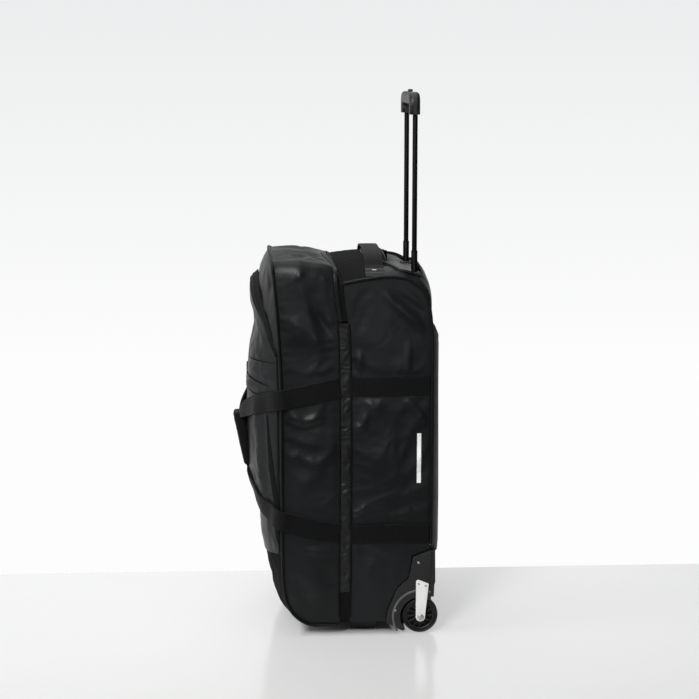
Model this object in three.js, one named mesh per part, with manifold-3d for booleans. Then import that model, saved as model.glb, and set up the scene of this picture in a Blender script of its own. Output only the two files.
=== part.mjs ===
// Wheeled gear duffel standing upright with its trolley handle pulled out.
// Millimetres, +Z up, origin under the middle of the bag at floor level.
// X runs from the front (-) to the back (+), Y from the bag's right side (-) to its left side (+).
import * as THREE from 'three';
import { mergeVertices } from 'three/addons/utils/BufferGeometryUtils.js';
import Module from 'manifold-3d';

const wasm = await Module();
wasm.setup();

// Driving dimensions
const CLOTH = 2.5; // coated cloth with its lining
const SEAM_GAP = 0.6; // clearance between sewn neighbours
const HALF_WIDTH = 196; // side seams of the lid half
const SIDE_FACE = 194.5; // side panels of the base half at their seams
const GUSSET_HALF = 191.4; // the base gusset ends inside the side panels
const FOOT_Z = 27.2; // lower edge of the side panels
const SHOULDER_Z = 725; // the sides are upright up to here
const ZIP_X = 18; // middle of the zip along the sides
const ZIP_HALF = 10;
const PIPING_R = 3;
const WEBBING = { width: 40, thick: 2, gap: 1 };
const STRAPS = { upperZ: 530, lowerZ: 218, clear: 38 };
const AXLE = { x: 176, z: 38, r: 4, fit: 0.35, endGap: 0.3 };
const WHEEL = { r: 38, rimR: 31, inner: 168, outer: 195, hubInner: 172, hubOuter: 191, windows: 10 };
const HOUSING = { inner: 150, wall: 6, outer: 200, archR: 42 };
const BRACKET = { inner: 200.6, thick: 3 };
const TUBE = { x: 167.5, y: 100, fit: 0.3 };
const STAGES = {
  top: { halfX: 5.25, halfY: 7, low: 620, high: 1075.7 },
  mid: { halfX: 6.55, halfY: 8.3, low: 420, high: 797 },
  outer: { halfX: 7.85, halfY: 9.6, low: 70, high: 743.6 },
};
const TRAY = {
  front: 109, back: 180, half: 164, backHalf: 126, sideBack: 167, corner: 24,
  floor: 744, thick: 3, collarTop: 752, rim: 764,
};
const GRIP = {
  x: 166, halfX: 11, low: 1076, barLow: 1097, top: 1122,
  halfY: 114, leg: 27, shoulder: 20, inner: 8,
};
const BACK = { face: 199, plate: 4, rib: 12, half: 185, low: 184, high: 653, slope: 22 };
const FRONT_LIMIT = AXLE.x + WHEEL.r; // the carry handle reaches as far forward as the wheels reach back

// Colours and finishes: colour, roughness, metalness
const FINISH = {
  tarpaulin: { color: 0x26282a, roughness: 0.42, metalness: 0 },
  webbing: { color: 0x141415, roughness: 0.85, metalness: 0 },
  zip: { color: 0x161617, roughness: 0.7, metalness: 0 },
  piping: { color: 0x1c1d1e, roughness: 0.45, metalness: 0 },
  plastic: { color: 0x1b1b1b, roughness: 0.5, metalness: 0 },
  rubber: { color: 0x101010, roughness: 0.75, metalness: 0 },
  tube: { color: 0x0e0e0f, roughness: 0.25, metalness: 0.6 },
  bracket: { color: 0xd9d9d7, roughness: 0.4, metalness: 0.3 },
  steel: { color: 0xb9bab8, roughness: 0.35, metalness: 1 },
};

const bag = new THREE.Group();

function addPiece(name, geometry, finish) {
  const mesh = new THREE.Mesh(geometry, new THREE.MeshStandardMaterial(FINISH[finish]));
  mesh.name = name;
  bag.add(mesh);
}

const sides = [
  { name: 'right', sign: -1 },
  { name: 'left', sign: 1 },
];
const vec = (x, y, z) => new THREE.Vector3(x, y, z);
const mix = THREE.MathUtils.lerp;
const clamp01 = (t) => THREE.MathUtils.clamp(t, 0, 1);
const steps = (n) => Array.from({ length: n + 1 }, (_, i) => i / n);

// Value at t of a table with rows [t, value], straight between its rows
function tableAt(rows, t) {
  const next = rows.findIndex((row) => row[0] >= t);
  if (next < 0) return rows.at(-1)[1];
  if (next === 0) return rows[0][1];
  const [a, b] = [rows[next - 1], rows[next]];
  return mix(a[1], b[1], (t - a[0]) / (b[0] - a[0]));
}

// Solid helpers

// Closed geometry of points and triangles, turned so that its faces point out
function closedGeometry(points, triangles) {
  let volume = 0;
  const edge = new THREE.Vector3();
  for (const [a, b, c] of triangles) volume += points[a].dot(edge.crossVectors(points[b], points[c]));
  const index = triangles.flatMap(([a, b, c]) => (volume > 0 ? [a, b, c] : [a, c, b]));
  const geometry = new THREE.BufferGeometry();
  geometry.setAttribute('position', new THREE.Float32BufferAttribute(points.flatMap((p) => p.toArray()), 3));
  geometry.setIndex(index);
  return geometry;
}

// Triangles of a grid whose rows start at first and hold count points
function gridTriangles(first, rows, count, closed, flip) {
  const triangles = [];
  const last = closed ? count : count - 1;
  for (let r = 0; r < rows - 1; r += 1) {
    for (let c = 0; c < last; c += 1) {
      const a = first + r * count + c;
      const b = first + r * count + ((c + 1) % count);
      const quad = [[a, b, b + count], [a, b + count, a + count]];
      triangles.push(...quad.map(([i, j, k]) => (flip ? [i, k, j] : [i, j, k])));
    }
  }
  return triangles;
}

// Wall between two grids of the same size, with its rims closed
function wallSolid(outer, inner, closed = false) {
  const rows = outer.length;
  const count = outer[0].length;
  const points = [...outer.flat(), ...inner.flat()];
  const back = rows * count;
  const triangles = [
    ...gridTriangles(0, rows, count, closed, false),
    ...gridTriangles(back, rows, count, closed, true),
  ];
  const rim = [];
  const lastRow = (rows - 1) * count;
  if (closed) {
    for (let c = 0; c < count; c += 1) {
      const next = (c + 1) % count;
      rim.push([next, c], [lastRow + c, lastRow + next]);
    }
  } else {
    for (let c = 0; c < count - 1; c += 1) rim.push([c + 1, c], [lastRow + c, lastRow + c + 1]);
    for (let r = 0; r < rows - 1; r += 1) {
      rim.push([r * count, (r + 1) * count], [(r + 2) * count - 1, (r + 1) * count - 1]);
    }
  }
  for (const [a, b] of rim) triangles.push([a, b, b + back], [a, b + back, a + back]);
  return closedGeometry(points, triangles);
}

// Solid through a row of rings of the same size, with flat ends
function loftSolid(rings) {
  const count = rings[0].length;
  const triangles = gridTriangles(0, rings.length, count, true, false);
  const last = (rings.length - 1) * count;
  for (let c = 1; c < count - 1; c += 1) triangles.push([0, c + 1, c], [last, last + c, last + c + 1]);
  return closedGeometry(rings.flat(), triangles);
}

// Normals of a grid of points, pointing away from a point inside
function gridNormals(grid, inside) {
  const within = (i, count) => THREE.MathUtils.clamp(i, 0, count - 1);
  const at = (r, c) => grid[within(r, grid.length)][within(c, grid[0].length)];
  return grid.map((row, r) => row.map((point, c) => {
    const along = at(r + 1, c).clone().sub(at(r - 1, c));
    const across = at(r, c + 1).clone().sub(at(r, c - 1));
    const normal = along.cross(across).normalize();
    return normal.dot(point.clone().sub(inside)) < 0 ? normal.negate() : normal;
  }));
}

function offsetGrid(grid, normals, distance) {
  return grid.map((row, r) => row.map((point, c) => point.clone().addScaledVector(normals[r][c], distance)));
}

// Cloth wall: its outer face is the grid
function clothSheet(grid, inside, thick = CLOTH) {
  return wallSolid(grid, offsetGrid(grid, gridNormals(grid, inside), -thick));
}

// Cloth band round the body, cut square to X so that it meets the next band
function bandSheet(grid, inside, thick = CLOTH) {
  const normals = gridNormals(grid, inside).map((row) => row.map((normal) => normal.setX(0).normalize()));
  return wallSolid(grid, offsetGrid(grid, normals, -thick));
}

// Round bead along points, its rings carried along without twist
function bead(path, radius, sidesCount) {
  let across = null;
  const rings = path.map((point, i) => {
    const before = path[Math.max(i - 1, 0)];
    const after = path[Math.min(i + 1, path.length - 1)];
    const tangent = after.clone().sub(before).normalize();
    if (!across) across = vec(0, 1, 0).addScaledVector(tangent, -tangent.y);
    across = across.clone().addScaledVector(tangent, -across.dot(tangent)).normalize();
    const third = tangent.clone().cross(across);
    return Array.from({ length: sidesCount }, (_, k) => {
      const angle = (2 * Math.PI * k) / sidesCount;
      const ring = point.clone().addScaledVector(across, radius * Math.cos(angle));
      return ring.addScaledVector(third, radius * Math.sin(angle));
    });
  });
  return loftSolid(rings);
}

// Plate of an outline in X and Z, between two values of Y
function plateAcross(shape, yLow, yHigh, curveSegments = 10) {
  const settings = { depth: yHigh - yLow, bevelEnabled: false, curveSegments };
  const geometry = new THREE.ExtrudeGeometry(shape, settings);
  return geometry.rotateX(Math.PI / 2).translate(0, yHigh, 0);
}

// The same plate on one side of the bag, its faces given as distances from the middle
function sidePlate(shape, near, far, sign, curveSegments) {
  return plateAcross(shape, sign > 0 ? near : -far, sign > 0 ? far : -near, curveSegments);
}

// Turned piece on a cross axis: rows of radius and distance from the middle
function turned(rows, sign, x, z, segments) {
  const profile = rows.map(([radius, along]) => new THREE.Vector2(radius, along * sign));
  if (sign < 0) profile.reverse();
  return new THREE.LatheGeometry(profile, segments).translate(x, 0, z);
}

function shapeOf(points) {
  return new THREE.Shape(points.map(([x, z]) => new THREE.Vector2(x, z)));
}

function toSolid(geometry) {
  const bare = geometry.clone();
  bare.deleteAttribute('normal');
  bare.deleteAttribute('uv');
  const merged = mergeVertices(bare, 1e-4);
  const vertProperties = new Float32Array(merged.attributes.position.array);
  const triVerts = new Uint32Array(merged.index.array);
  return new wasm.Manifold(new wasm.Mesh({ numProp: 3, vertProperties, triVerts }));
}

function toGeometry(solid) {
  const mesh = solid.getMesh();
  const geometry = new THREE.BufferGeometry();
  geometry.setAttribute('position', new THREE.Float32BufferAttribute(mesh.vertProperties, 3));
  geometry.setIndex(Array.from(mesh.triVerts));
  return geometry;
}

const join = (...parts) => toGeometry(parts.map(toSolid).reduce((a, b) => a.add(b)));
const cut = (body, ...tools) => toGeometry(tools.map(toSolid).reduce((a, b) => a.subtract(b), toSolid(body)));

// Dents (-) and folds (+) of the side panels: a ridge between two points, its half-width and height
const LID_FOLDS = [
  { x1: -44, z1: 680, x2: -4, z2: 622, half: 24, height: -4 },
  { x1: -92, z1: 470, x2: -40, z2: 440, half: 24, height: 3 },
  { x1: -100, z1: 640, x2: -60, z2: 590, half: 30, height: 3 },
  { x1: -80, z1: 320, x2: -20, z2: 390, half: 32, height: -3 },
  { x1: -70, z1: 150, x2: -20, z2: 90, half: 30, height: 2.5 },
];
const BASE_FOLDS = [
  { x1: 34, z1: 640, x2: 60, z2: 705, half: 22, height: -3 },
  { x1: 84, z1: 715, x2: 165, z2: 640, half: 26, height: 3 },
  { x1: 40, z1: 470, x2: 70, z2: 440, half: 24, height: 2.5 },
  { x1: 40, z1: 285, x2: 70, z2: 265, half: 24, height: 2.5 },
  { x1: 120, z1: 440, x2: 150, z2: 330, half: 34, height: -2 },
];

function foldHeight(folds, x, z) {
  const nearStrap = Math.min(Math.abs(z - STRAPS.upperZ), Math.abs(z - STRAPS.lowerZ));
  const free = THREE.MathUtils.smoothstep(nearStrap, STRAPS.clear, 2 * STRAPS.clear);
  const line = new THREE.Line3();
  const near = vec(0, 0, 0);
  return free * folds.reduce((sum, { x1, z1, x2, z2, half, height }) => {
    line.set(vec(x1, 0, z1), vec(x2, 0, z2));
    const far = line.closestPointToPoint(vec(x, 0, z), true, near).distanceTo(vec(x, 0, z));
    return sum + height * Math.exp(-((far / half) ** 2));
  }, 0);
}

// Arches of the body seen from the front, from the top's middle (s = 0) down one side (s = 1)
const ARCH = {
  lidFront: { half: HALF_WIDTH, top: 796, drop: 9, power: 2, corner: 24 },
  lidZip: { half: HALF_WIDTH, top: 785, drop: 9, power: 2, corner: 24 },
  baseZip: { half: SIDE_FACE + 0.5, top: 777, drop: 35, power: 3.2, corner: 10 },
};
const TOP_END = 0.3;
const CORNER_END = 0.42;

function archPoint(arch, s) {
  const flat = arch.half - arch.corner;
  const edgeZ = arch.top - arch.drop;
  if (s <= TOP_END) {
    const share = s / TOP_END;
    return { y: share * flat, z: arch.top - arch.drop * share ** arch.power };
  }
  if (s <= CORNER_END) {
    const t = (s - TOP_END) / (CORNER_END - TOP_END);
    const tipZ = edgeZ - (arch.drop * arch.power * arch.corner) / flat;
    const weights = [(1 - t) ** 2, 2 * t * (1 - t), t ** 2];
    return {
      y: weights[0] * flat + (weights[1] + weights[2]) * arch.half,
      z: weights[0] * edgeZ + weights[1] * tipZ + weights[2] * SHOULDER_Z,
    };
  }
  return { y: arch.half, z: mix(SHOULDER_Z, FOOT_Z, (s - CORNER_END) / (1 - CORNER_END)) };
}

const sideShare = (z) => mix(CORNER_END, 1, (SHOULDER_Z - z) / (SHOULDER_Z - FOOT_Z));

// The zip leans forward over the shoulders: rows of height and middle of the zip
const ZIP_LEAN = [[27, ZIP_X], [600, ZIP_X], [640, 17], [700, 9], [SHOULDER_Z, 6]];
const ZIP_TOP = { middle: -13, corner: 3 };

function zipMiddle(s) {
  if (s <= TOP_END) return mix(ZIP_TOP.middle, ZIP_TOP.corner, (s / TOP_END) ** 2);
  const shoulder = tableAt(ZIP_LEAN, SHOULDER_Z);
  if (s <= CORNER_END) return mix(ZIP_TOP.corner, shoulder, (s - TOP_END) / (CORNER_END - TOP_END));
  return tableAt(ZIP_LEAN, archPoint(ARCH.lidZip, s).z);
}

// Places along an arch, right foot to left foot, denser round the corners
const SIDE_STOPS = [FOOT_Z, 38, 54, 76, 110, 160, 218, 276, 335, 395, 455, 530, 585, 640, 690];
const TOP_STOPS = [0.42, 0.38, 0.34, 0.3, 0.24, 0.16, 0.08];
const halfStops = [...SIDE_STOPS.map(sideShare), ...TOP_STOPS];
const archStops = [...halfStops.map((s) => -s), 0, ...[...halfStops].reverse()];

// Point on the ruled band between two arches at share u from one to the other
function bandPoint(front, back, xFront, xBack, s, u) {
  const a = archPoint(front, Math.abs(s));
  const b = archPoint(back, Math.abs(s));
  return vec(mix(xFront, xBack, u), Math.sign(s) * mix(a.y, b.y, u), mix(a.z, b.z, u));
}

// Lid half

// Front edge of the lid's side: rows of height and place, round at the bottom corner
const LID_EDGE = [
  [FOOT_Z, -47], [38, -69], [54, -86], [76, -97], [110, -104.5], [160, -106.5],
  [530, -107], [640, -112], [690, -115], [SHOULDER_Z, -117],
];
const LID_TOP_EDGE = { middle: -130.5, corner: -124.5 };
const LID_BULGE = { side: 5, top: 5, footEase: 60 };

function lidEdge(s) {
  if (s <= TOP_END) return mix(LID_TOP_EDGE.middle, LID_TOP_EDGE.corner, (s / TOP_END) ** 2);
  const shoulder = tableAt(LID_EDGE, SHOULDER_Z);
  if (s <= CORNER_END) return mix(LID_TOP_EDGE.corner, shoulder, (s - TOP_END) / (CORNER_END - TOP_END));
  return tableAt(LID_EDGE, archPoint(ARCH.lidFront, s).z);
}

function lidPoint(s, u) {
  const share = Math.abs(s);
  const zipEdge = zipMiddle(share) - ZIP_HALF - SEAM_GAP;
  const point = bandPoint(ARCH.lidFront, ARCH.lidZip, lidEdge(share), zipEdge, s, u);
  const swell = Math.sin(Math.PI * u);
  const onSide = clamp01((share - TOP_END) / (CORNER_END - TOP_END));
  const fold = foldHeight(LID_FOLDS, point.x, point.z) * swell;
  const footFade = clamp01((point.z - FOOT_Z) / LID_BULGE.footEase);
  point.y += Math.sign(s) * onSide * (LID_BULGE.side * swell * footFade + fold);
  point.z += (1 - onSide) * LID_BULGE.top * swell;
  return point;
}

const LID_COLUMNS = 6;
const lidInside = vec(-40, 0, 400);
const lidGrid = archStops.map((s) => steps(LID_COLUMNS).map((u) => lidPoint(s, u)));
addPiece('lid_gusset', bandSheet(lidGrid, lidInside), 'tarpaulin');

// Front panel: rows from the zip under the bottom, round the front to the top edge
const FRONT_ROWS = [
  { xRim: 7, zRim: 24.2, half: 195, xMid: 7, zMid: 24 },
  { xRim: -25, zRim: 24, half: HALF_WIDTH, xMid: -45, zMid: 23.6 },
  { xRim: -52, zRim: 24.6, half: HALF_WIDTH, xMid: -90, zMid: 25 },
  { xRim: -74, zRim: 35, half: HALF_WIDTH, xMid: -113, zMid: 37 },
  { xRim: -91, zRim: 52, half: HALF_WIDTH, xMid: -128, zMid: 64 },
  { xRim: -102, zRim: 76, half: HALF_WIDTH, xMid: -137, zMid: 104 },
  { xRim: -108, zRim: 112, half: HALF_WIDTH, xMid: -144, zMid: 160 },
  { xRim: -110, zRim: 165, half: HALF_WIDTH, xMid: -149, zMid: 215 },
  { xRim: -110, zRim: 250, half: HALF_WIDTH, xMid: -154, zMid: 290 },
  { xRim: -110, zRim: 340, half: HALF_WIDTH, xMid: -157, zMid: 370 },
  { xRim: -110, zRim: 440, half: HALF_WIDTH, xMid: -158, zMid: 455 },
  { xRim: -110.5, zRim: 530, half: HALF_WIDTH, xMid: -157, zMid: 535 },
  { xRim: -115, zRim: 630, half: HALF_WIDTH, xMid: -156, zMid: 630 },
  { xRim: -119, zRim: 690, half: HALF_WIDTH, xMid: -157, zMid: 700 },
  { xRim: -122, zRim: 728, half: 195.8, xMid: -155, zMid: 742 },
  { xRim: -125, zRim: 763, half: 191.5, xMid: -149, zMid: 770 },
  { xRim: -127, zRim: 777, half: 185, xMid: -142, zMid: 785.5 },
  { xRim: -129, zRim: 787, half: 140, xMid: -134, zMid: 796.5 },
];
const FRONT_CROWN = 2.6;
const FRONT_COLUMNS = [-1, -0.9, -0.76, -0.58, -0.36, -0.12, 0.12, 0.36, 0.58, 0.76, 0.9, 1];
const frontInside = vec(0, 0, 400);

function frontPoint(row, u) {
  const towardsRim = Math.abs(u) ** FRONT_CROWN;
  return vec(mix(row.xMid, row.xRim, towardsRim), u * row.half, mix(row.zMid, row.zRim, towardsRim));
}

const frontGrid = FRONT_ROWS.map((row) => FRONT_COLUMNS.map((u) => frontPoint(row, u)));
addPiece('front_panel', clothSheet(frontGrid, frontInside), 'tarpaulin');

// Piping along the rim of the front panel, outside the seam by its own radius
const PIPING_SEAT = { across: 1.4, out: 3.1 };

function rimBead() {
  const normals = gridNormals(frontGrid, frontInside);
  const lastRow = frontGrid.length - 1;
  const lastColumn = FRONT_COLUMNS.length - 1;
  const seat = (r, c, rIn, cIn) => {
    const across = frontGrid[r][c].clone().sub(frontGrid[rIn][cIn]).normalize();
    const point = frontGrid[r][c].clone().addScaledVector(across, PIPING_SEAT.across);
    return point.addScaledVector(normals[r][c], PIPING_SEAT.out);
  };
  const right = frontGrid.slice(0, lastRow).map((_, r) => seat(r, 0, r, 1));
  const top = FRONT_COLUMNS.map((_, c) => seat(lastRow, c, lastRow - 1, c));
  const left = frontGrid.slice(0, lastRow).map((_, r) => seat(r, lastColumn, r, lastColumn - 1)).reverse();
  return [...right, ...top, ...left];
}

addPiece('lid_piping', bead(rimBead(), PIPING_R, 6), 'piping');

// Place of the front panel's outer face at a height, straight between its rows
function frontFace(y, z) {
  const u = THREE.MathUtils.clamp(y / HALF_WIDTH, -1, 1);
  const rows = FRONT_ROWS.slice(5, 16).map((row) => frontPoint(row, u));
  return tableAt(rows.map((point) => [point.z, point.x]), z);
}

// Arched pocket on the front: puff of the pocket over the panel at its middle, rows of height and depth
const POCKET = { half: 186, apexZ: 730, archDrop: 140, archPower: 1.7, footZ: 152, footDrop: -38, gap: 1.2 };
const POCKET_PUFF = [
  [152, 3], [190, 5], [240, 4], [270, 9], [300, 14], [340, 17.5],
  [400, 18.5], [480, 20], [588, 16], [650, 6], [695, 14], [735, 15],
];
const POCKET_PLEATS = { count: 3, depth: 3, low: 290, high: 510, ease: 60 };

function pocketPuff(y, z) {
  const share = Math.abs(y) / POCKET.half;
  const fade = 1 - share ** 3;
  const { low, high, count, depth, ease } = POCKET_PLEATS;
  const band = clamp01((z - low) / ease) * clamp01((high - z) / ease);
  const pleat = depth * band * share * Math.sin(share * count * 2 * Math.PI);
  return (tableAt(POCKET_PUFF, z) + pleat) * fade;
}

function pocketPoint(u, v) {
  const y = u * POCKET.half;
  const low = POCKET.footZ - POCKET.footDrop * Math.abs(u) ** 2;
  const high = POCKET.apexZ - POCKET.archDrop * Math.abs(u) ** POCKET.archPower;
  const z = mix(low, high, v);
  return vec(frontFace(y, z) - POCKET.gap - CLOTH - pocketPuff(y, z), y, z);
}

const POCKET_COLUMNS = 14;
const POCKET_ROWS = 10;
const pocketGrid = steps(POCKET_ROWS).map((v) => steps(POCKET_COLUMNS).map((t) => pocketPoint(2 * t - 1, v)));
const pocketBack = pocketGrid.map((row) => row.map((point) => point.clone().add(vec(CLOTH, 0, 0))));
addPiece('front_pocket', wallSolid(pocketGrid, pocketBack), 'tarpaulin');

// Zip band of the pocket: bridges the step from the arch up to the front panel
const POCKET_ZIP = { rise: 17, lift: 1.4, gap: 0.9, thick: 1.6 };

function pocketZipGrid() {
  const edge = pocketGrid.at(-1);
  return edge.map((point, i) => {
    const before = edge[Math.max(i - 1, 0)];
    const after = edge[Math.min(i + 1, edge.length - 1)];
    const along = after.clone().sub(before).setX(0).normalize();
    const up = vec(0, -along.z, along.y);
    const low = point.clone().addScaledVector(up, POCKET_ZIP.gap);
    const high = point.clone().addScaledVector(up, POCKET_ZIP.gap + POCKET_ZIP.rise);
    const face = frontFace(high.y, high.z) - POCKET_ZIP.lift - POCKET_ZIP.thick;
    high.setX(Math.abs(high.y) > POCKET.half ? Math.min(face, point.x) : face);
    return [low, high];
  });
}

const pocketZip = pocketZipGrid();
const tapeDepth = vec(POCKET_ZIP.thick, 0, 0);
const pocketZipBack = pocketZip.map((row) => row.map((point) => point.clone().add(tapeDepth)));
addPiece('pocket_zip', wallSolid(pocketZip, pocketZipBack), 'zip');

// Pull tab that hangs on the pocket's face
const PULL = { y: 0, low: 512, high: 548, half: 5, thick: 2.4, gap: 0.9 };
const pullRows = steps(3).map((v) => mix(PULL.low, PULL.high, v));
const pullFace = (z) => [-PULL.half, 0, PULL.half].map((dy) => {
  const y = PULL.y + dy;
  return vec(frontFace(y, z) - POCKET.gap - CLOTH - pocketPuff(y, z) - PULL.gap, y, z);
});
const pullBack = pullRows.map(pullFace);
const pullGrid = pullBack.map((row) => row.map((point) => point.clone().sub(vec(PULL.thick, 0, 0))));
addPiece('pocket_pull', wallSolid(pullGrid, pullBack), 'webbing');

// Zip between the halves, the cloth strips that cover its lower run, and the hinge under the bottom
const ZIP = { lowEnd: 663, stripLow: 92, stripHigh: 660, tape: 2 };

function zipBandPoint(s, u) {
  const middle = zipMiddle(Math.abs(s));
  return bandPoint(ARCH.lidZip, ARCH.baseZip, middle - ZIP_HALF, middle + ZIP_HALF, s, u);
}

const zipStops = [ZIP.lowEnd, 690].map(sideShare).concat(TOP_STOPS);
const zipGrid = [...zipStops.map((s) => -s), 0, ...[...zipStops].reverse()]
  .map((s) => steps(2).map((u) => zipBandPoint(s, u)));
addPiece('main_zip', bandSheet(zipGrid, vec(0, 0, 400), ZIP.tape), 'zip');

const STRIP_CRINKLE = 0.9; // the strip's middle steps in and out from stop to stop
const stripInside = SIDE_STOPS.filter((z) => z > ZIP.stripLow && z < ZIP.stripHigh);
const stripStops = [ZIP.stripLow, ...stripInside, ZIP.stripHigh];
for (const { name, sign } of sides) {
  const grid = stripStops.map((z, i) => steps(2).map((u) => {
    const point = zipBandPoint(sign * sideShare(z), u);
    point.y += sign * STRIP_CRINKLE * (i % 2 ? 1 : -1) * Math.sin(Math.PI * u);
    return point;
  }));
  addPiece(`zip_strip_${name}`, bandSheet(grid, vec(ZIP_X, 0, 400), ZIP.tape), 'tarpaulin');
}

const BOTTOM_BAND = [
  { y: HALF_WIDTH - 0.5, z: ZIP.stripLow - SEAM_GAP },
  { y: HALF_WIDTH - 0.5, z: 60 },
  { y: HALF_WIDTH - 0.5, z: 33 },
  { y: HALF_WIDTH - 3, z: 26.5 },
  { y: HALF_WIDTH - 9, z: 24.5 },
  { y: 60, z: 24.5 },
];
const bandRows = [...BOTTOM_BAND.map(({ y, z }) => ({ y: -y, z })), ...[...BOTTOM_BAND].reverse()];
const bandGrid = bandRows.map(({ y, z }) => [-ZIP_HALF, ZIP_HALF].map((dx) => vec(ZIP_X + dx, y, z)));
addPiece('bottom_band', clothSheet(bandGrid, vec(ZIP_X, 0, 400), ZIP.tape), 'tarpaulin');

// Base half

// Gusset rows, top to back to bottom: place at the side seam and at the middle of the width
const zipSeam = ZIP_X + ZIP_HALF + SEAM_GAP;
const BASE_ROWS = [
  { xRim: 14.8, zRim: 737, xMid: ZIP_TOP.middle + ZIP_HALF + SEAM_GAP, zMid: 777, bow: 2 },
  { xRim: 36, zRim: 741, xMid: 22, zMid: 779 },
  { xRim: 66, zRim: 747, xMid: 54, zMid: 782.5 },
  { xRim: 101, zRim: 752, xMid: 92, zMid: 785 },
  { xRim: 130, zRim: 751, xMid: 124, zMid: 785 },
  { xRim: 152, zRim: 745, xMid: 151, zMid: 782 },
  { xRim: 168, zRim: 735.5, xMid: 171, zMid: 774 },
  { xRim: 181, zRim: 721, xMid: 186, zMid: 757 },
  { xRim: 190.5, zRim: 697, xMid: 194.5, zMid: 728 },
  { xRim: 194.5, zRim: 661, xMid: 197.5, zMid: 690 },
  { xRim: 195.6, zRim: 625, xMid: 198.4, zMid: 645 },
  { xRim: 196, zRim: 530, xMid: 198.6, zMid: 530 },
  { xRim: 196, zRim: 400, xMid: 198.6, zMid: 400 },
  { xRim: 196, zRim: 280, xMid: 198.6, zMid: 280 },
  { xRim: 196, zRim: 186, xMid: 198.6, zMid: 186 },
  { xRim: 196, zRim: 62, xMid: 198.6, zMid: 62 },
  { xRim: 188, zRim: 38, xMid: 190, zMid: 37 },
  { xRim: 168, zRim: 27, xMid: 170, zMid: 26 },
  { xRim: 100, zRim: 26, xMid: 100, zMid: 26 },
  { xRim: zipSeam, zRim: 26, xMid: zipSeam, zMid: 26 },
];
const BASE_CROWN = 3.2;
const BASE_COLUMNS = [-1, -0.9, -0.76, -0.58, -0.36, -0.12, 0.12, 0.36, 0.58, 0.76, 0.9, 1];
const baseInside = vec(100, 0, 400);

function basePoint(row, u) {
  const towardsRim = Math.abs(u) ** BASE_CROWN;
  const bowed = Math.abs(u) ** (row.bow ?? BASE_CROWN);
  return vec(mix(row.xMid, row.xRim, bowed), u * GUSSET_HALF, mix(row.zMid, row.zRim, towardsRim));
}

// Height of the gusset's top over a place
function baseTop(x, y) {
  const rows = BASE_ROWS.slice(0, 9).map((row) => basePoint(row, y / GUSSET_HALF));
  return tableAt(rows.map((point) => [point.x, point.z]), x);
}

// Outline of a wheel housing in X and Z: front edge, then the upper block, then the wheel arch
const HOUSING_FRONT = [[112, 22], [104, 24], [107, 50], [128, 100], [147, 118], [152, 122]];
const HOUSING_BLOCK = [[160, 167], [198, 181], [198.4, 74]];
const HOUSING_TAIL = [[144.6, 10], [139, 7], [127, 13]];
const HOUSING_WALL_LOW = [[198.4, 28], [188, 14], [139, 7], [127, 13]];

function archCut() {
  const start = Math.acos((HOUSING_BLOCK[2][0] - AXLE.x) / HOUSING.archR);
  const end = Math.PI + Math.asin((AXLE.z - HOUSING_TAIL[0][1]) / HOUSING.archR);
  return steps(14).map((t) => {
    const angle = mix(start, end, t);
    return [AXLE.x + HOUSING.archR * Math.cos(angle), AXLE.z + HOUSING.archR * Math.sin(angle)];
  });
}

const housingShape = shapeOf([...HOUSING_FRONT, ...HOUSING_BLOCK, ...archCut(), ...HOUSING_TAIL.slice(1)]);
const housingWall = shapeOf([...HOUSING_FRONT, ...HOUSING_BLOCK, ...HOUSING_WALL_LOW]);
// The gusset is cut back round the housing by the same outline with its clearance
const HOUSING_LEAD = 102.6;
const HOUSING_CUTOUT = [
  [HOUSING_LEAD, 10], [105.6, 50.6], [127, 101.2], [146, 119.4], [151, 123.2],
  [158.8, 168.4], [198, 182.6], [215, 182.6], [215, 0], [HOUSING_LEAD, 0],
];
const housingCutout = shapeOf(HOUSING_CUTOUT);

const baseGrid = BASE_ROWS.map((row) => BASE_COLUMNS.map((u) => basePoint(row, u)));
const trayShape = (grow) => {
  const { front, back, half, corner, backHalf, sideBack } = TRAY;
  const edge = [
    [front - grow, half - corner], [front + corner, half + grow],
    [sideBack + grow, half + grow], [back + grow, backHalf + grow],
  ];
  return shapeOf([...edge, ...edge.map(([x, y]) => [x, -y]).reverse()]);
};
const upright = (shape, low, high) => {
  const settings = { depth: high - low, bevelEnabled: false, curveSegments: 6 };
  return new THREE.ExtrudeGeometry(shape, settings).translate(0, 0, low);
};
const CUT_REACH = 20;
addPiece('base_gusset', cut(
  clothSheet(baseGrid, baseInside),
  upright(trayShape(SEAM_GAP), TRAY.floor - CUT_REACH, TRAY.collarTop + 2 * CUT_REACH),
  ...sides.map(({ sign }) => sidePlate(housingCutout, HOUSING.inner - SEAM_GAP, HOUSING.outer, sign)),
), 'tarpaulin');

// Side panels: columns from the zip to the back, each with its lower and upper end
const SIDE_COLUMNS = [
  { x: zipSeam, low: FOOT_Z, high: 739 },
  { x: 46, low: FOOT_Z, high: 743 },
  { x: 66, low: FOOT_Z, high: 747 },
  { x: 88, low: FOOT_Z, high: 750.5 },
  { x: HOUSING_LEAD, low: FOOT_Z, high: 752 },
  { x: 106, low: 53, high: 752 },
  { x: 126.6, low: 102.4, high: 751 },
  { x: 150.4, low: 124, high: 744.4 },
  { x: 158, low: 169.4, high: 738 },
  { x: 166, low: 172.3, high: 734 },
  { x: 178, low: 176.4, high: 720 },
  { x: 187, low: 180, high: 698 },
  { x: 192.5, low: 182, high: 662 },
  { x: 195.4, low: 183.2, high: 622 },
];
const frontColumn = SIDE_COLUMNS[0];
const sideShares = [FOOT_Z, ...SIDE_STOPS.filter((z) => z > 100), frontColumn.high]
  .map((z) => (z - frontColumn.low) / (frontColumn.high - frontColumn.low));
const SIDE_BULGE = { out: 6, fullness: 0.8, top: 745 };

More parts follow.
